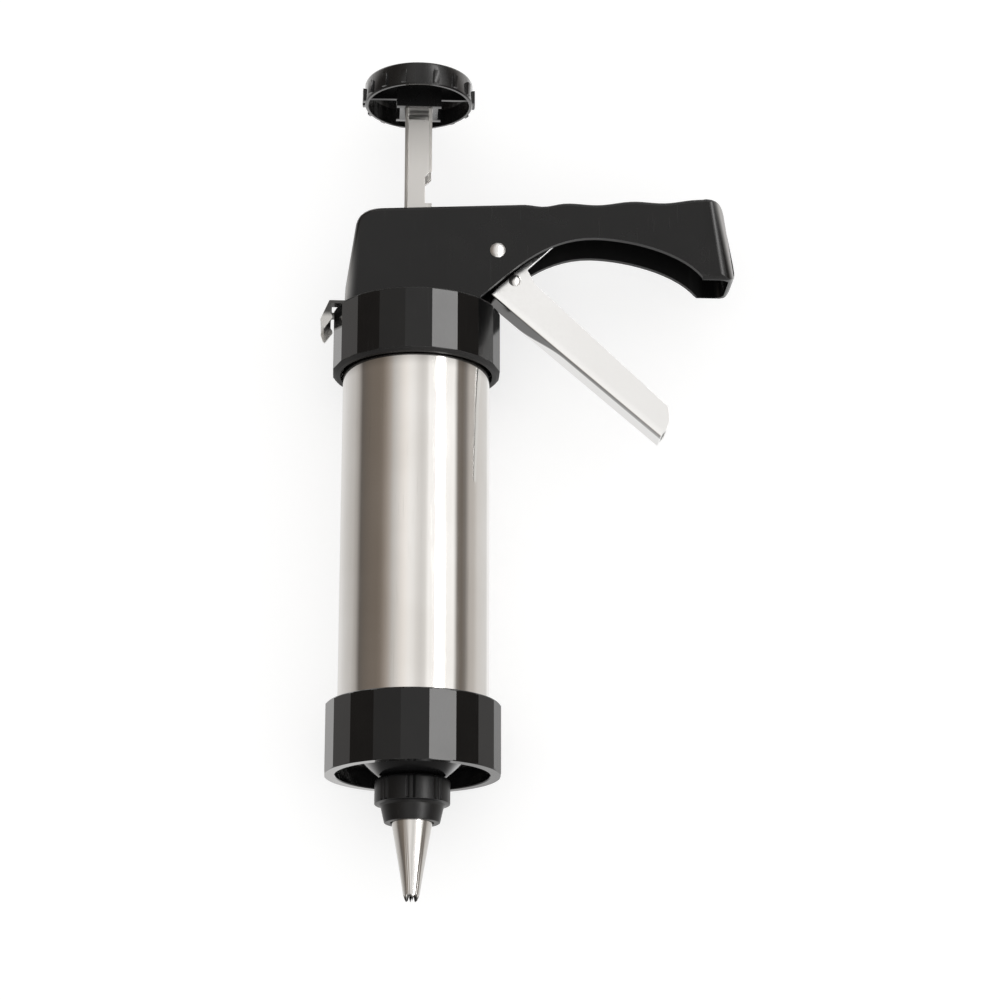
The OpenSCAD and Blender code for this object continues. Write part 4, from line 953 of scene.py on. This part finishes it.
def mixShaders(tree, factor, first, second):
    node = tree.nodes.new("ShaderNodeMixShader")
    tree.links.new(factor, node.inputs["Fac"])
    tree.links.new(first, node.inputs[1])
    tree.links.new(second, node.inputs[2])
    return node.outputs["Shader"]


def studioWorld():
    # glossy rays see the bands with one bright strip, the camera sees pale grey beyond the floor, and
    # all else gets even light
    world = bpy.data.worlds.new("studioWorld")
    bpy.context.scene.world = world
    world.use_nodes = True
    tree = world.node_tree
    tree.nodes.clear()
    x, y, z = pointParts(tree, tree.nodes.new("ShaderNodeTexCoord").outputs["Generated"])
    angle = mathNode(tree, "ARCTAN2", x, z)
    turn = mathNode(tree, "MULTIPLY_ADD", angle, 1 / (2 * math.pi), 0.5)
    stripFrom = [math.radians(degrees) for degrees in studio["stripFrom"]]
    stripTo = [math.radians(degrees) for degrees in studio["stripTo"]]
    strip = product(tree, rangeNode(tree, angle, *stripFrom, smooth=True),
                    rangeNode(tree, angle, *stripTo, 1.0, 0.0, True),
                    rangeNode(tree, absolute(tree, y), *studio["stripTall"], 1.0, 0.0, True))
    strength = mathNode(tree, "MULTIPLY_ADD", strip, studio["stripExtra"], 1.0)
    glossy = background(tree, bandColours(tree, turn), strength)
    even = background(tree, studio["evenColour"], studio["evenStrength"])
    beyond = background(tree, studio["beyondFloor"], 1.0)
    rays = tree.nodes.new("ShaderNodeLightPath")
    light = mixShaders(tree, rays.outputs["Is Glossy Ray"], even, glossy)
    seen = mixShaders(tree, rays.outputs["Is Camera Ray"], light, beyond)
    output = tree.nodes.new("ShaderNodeOutputWorld")
    tree.links.new(seen, output.inputs["Surface"])


# plain floor under the collar flat: grey paper that glows to the camera alone, so it keeps the shadow
paperFloor = {"half": 2000.0, "below": 0.02, "paper": 0.45, "glow": 0.66}


def floorPiece():
    level = packedLow.z - paperFloor["below"] * mm
    half = paperFloor["half"] * mm
    mesh = bpy.data.meshes.new("floor")
    corners = [(x * half, y * half, level) for x, y in ((-1, -1), (1, -1), (1, 1), (-1, 1))]
    mesh.from_pydata(corners, [], [(0, 1, 2, 3)])
    floor = bpy.data.objects.new("floor", mesh)
    bpy.context.scene.collection.objects.link(floor)
    material = bpy.data.materials.new("floorPaper")
    material.use_nodes = True
    tree = material.node_tree
    tree.nodes.clear()
    paper = tree.nodes.new("ShaderNodeBsdfDiffuse")
    paper.inputs["Color"].default_value = (*[paperFloor["paper"]] * 3, 1.0)
    glow = tree.nodes.new("ShaderNodeEmission")
    glow.inputs["Color"].default_value = (1.0, 1.0, 1.0, 1.0)
    rays = tree.nodes.new("ShaderNodeLightPath")
    feed(tree, glow.inputs["Strength"], product(tree, rays.outputs["Is Camera Ray"], paperFloor["glow"]))
    both = tree.nodes.new("ShaderNodeAddShader")
    tree.links.new(paper.outputs["BSDF"], both.inputs[0])
    tree.links.new(glow.outputs["Emission"], both.inputs[1])
    output = tree.nodes.new("ShaderNodeOutputMaterial")
    tree.links.new(both.outputs["Shader"], output.inputs["Surface"])
    floor.data.materials.append(material)
    floor.visible_glossy = False


# fitted to the collar corners, the barrel edges and the rod in the photograph
photoView = {"lens": 98.13, "sensor": 36.0, "right": (0.99846, 0.0, 0.05544),
             "forward": (0.05303, 0.29185, -0.95500), "place": (-20.13, -173.59, 878.71)}


def photoCamera():
    camera = bpy.data.cameras.new("photoCamera")
    camera.lens = photoView["lens"]
    camera.sensor_width = photoView["sensor"]
    camera.clip_end = 20.0
    eye = bpy.data.objects.new("photoCamera", camera)
    bpy.context.scene.collection.objects.link(eye)
    right = np.array(photoView["right"])
    forward = np.array(photoView["forward"])
    up = np.cross(right, forward)
    place = np.array(photoView["place"]) * mm
    eye.matrix_world = [(*right, 0.0), (*up, 0.0), (*-forward, 0.0), (*place, 1.0)]
    bpy.context.scene.camera = eye


studioWorld()
floorPiece()
photoCamera()
bpy.context.scene.view_settings.view_transform = "Standard"
print("stage: studio set")
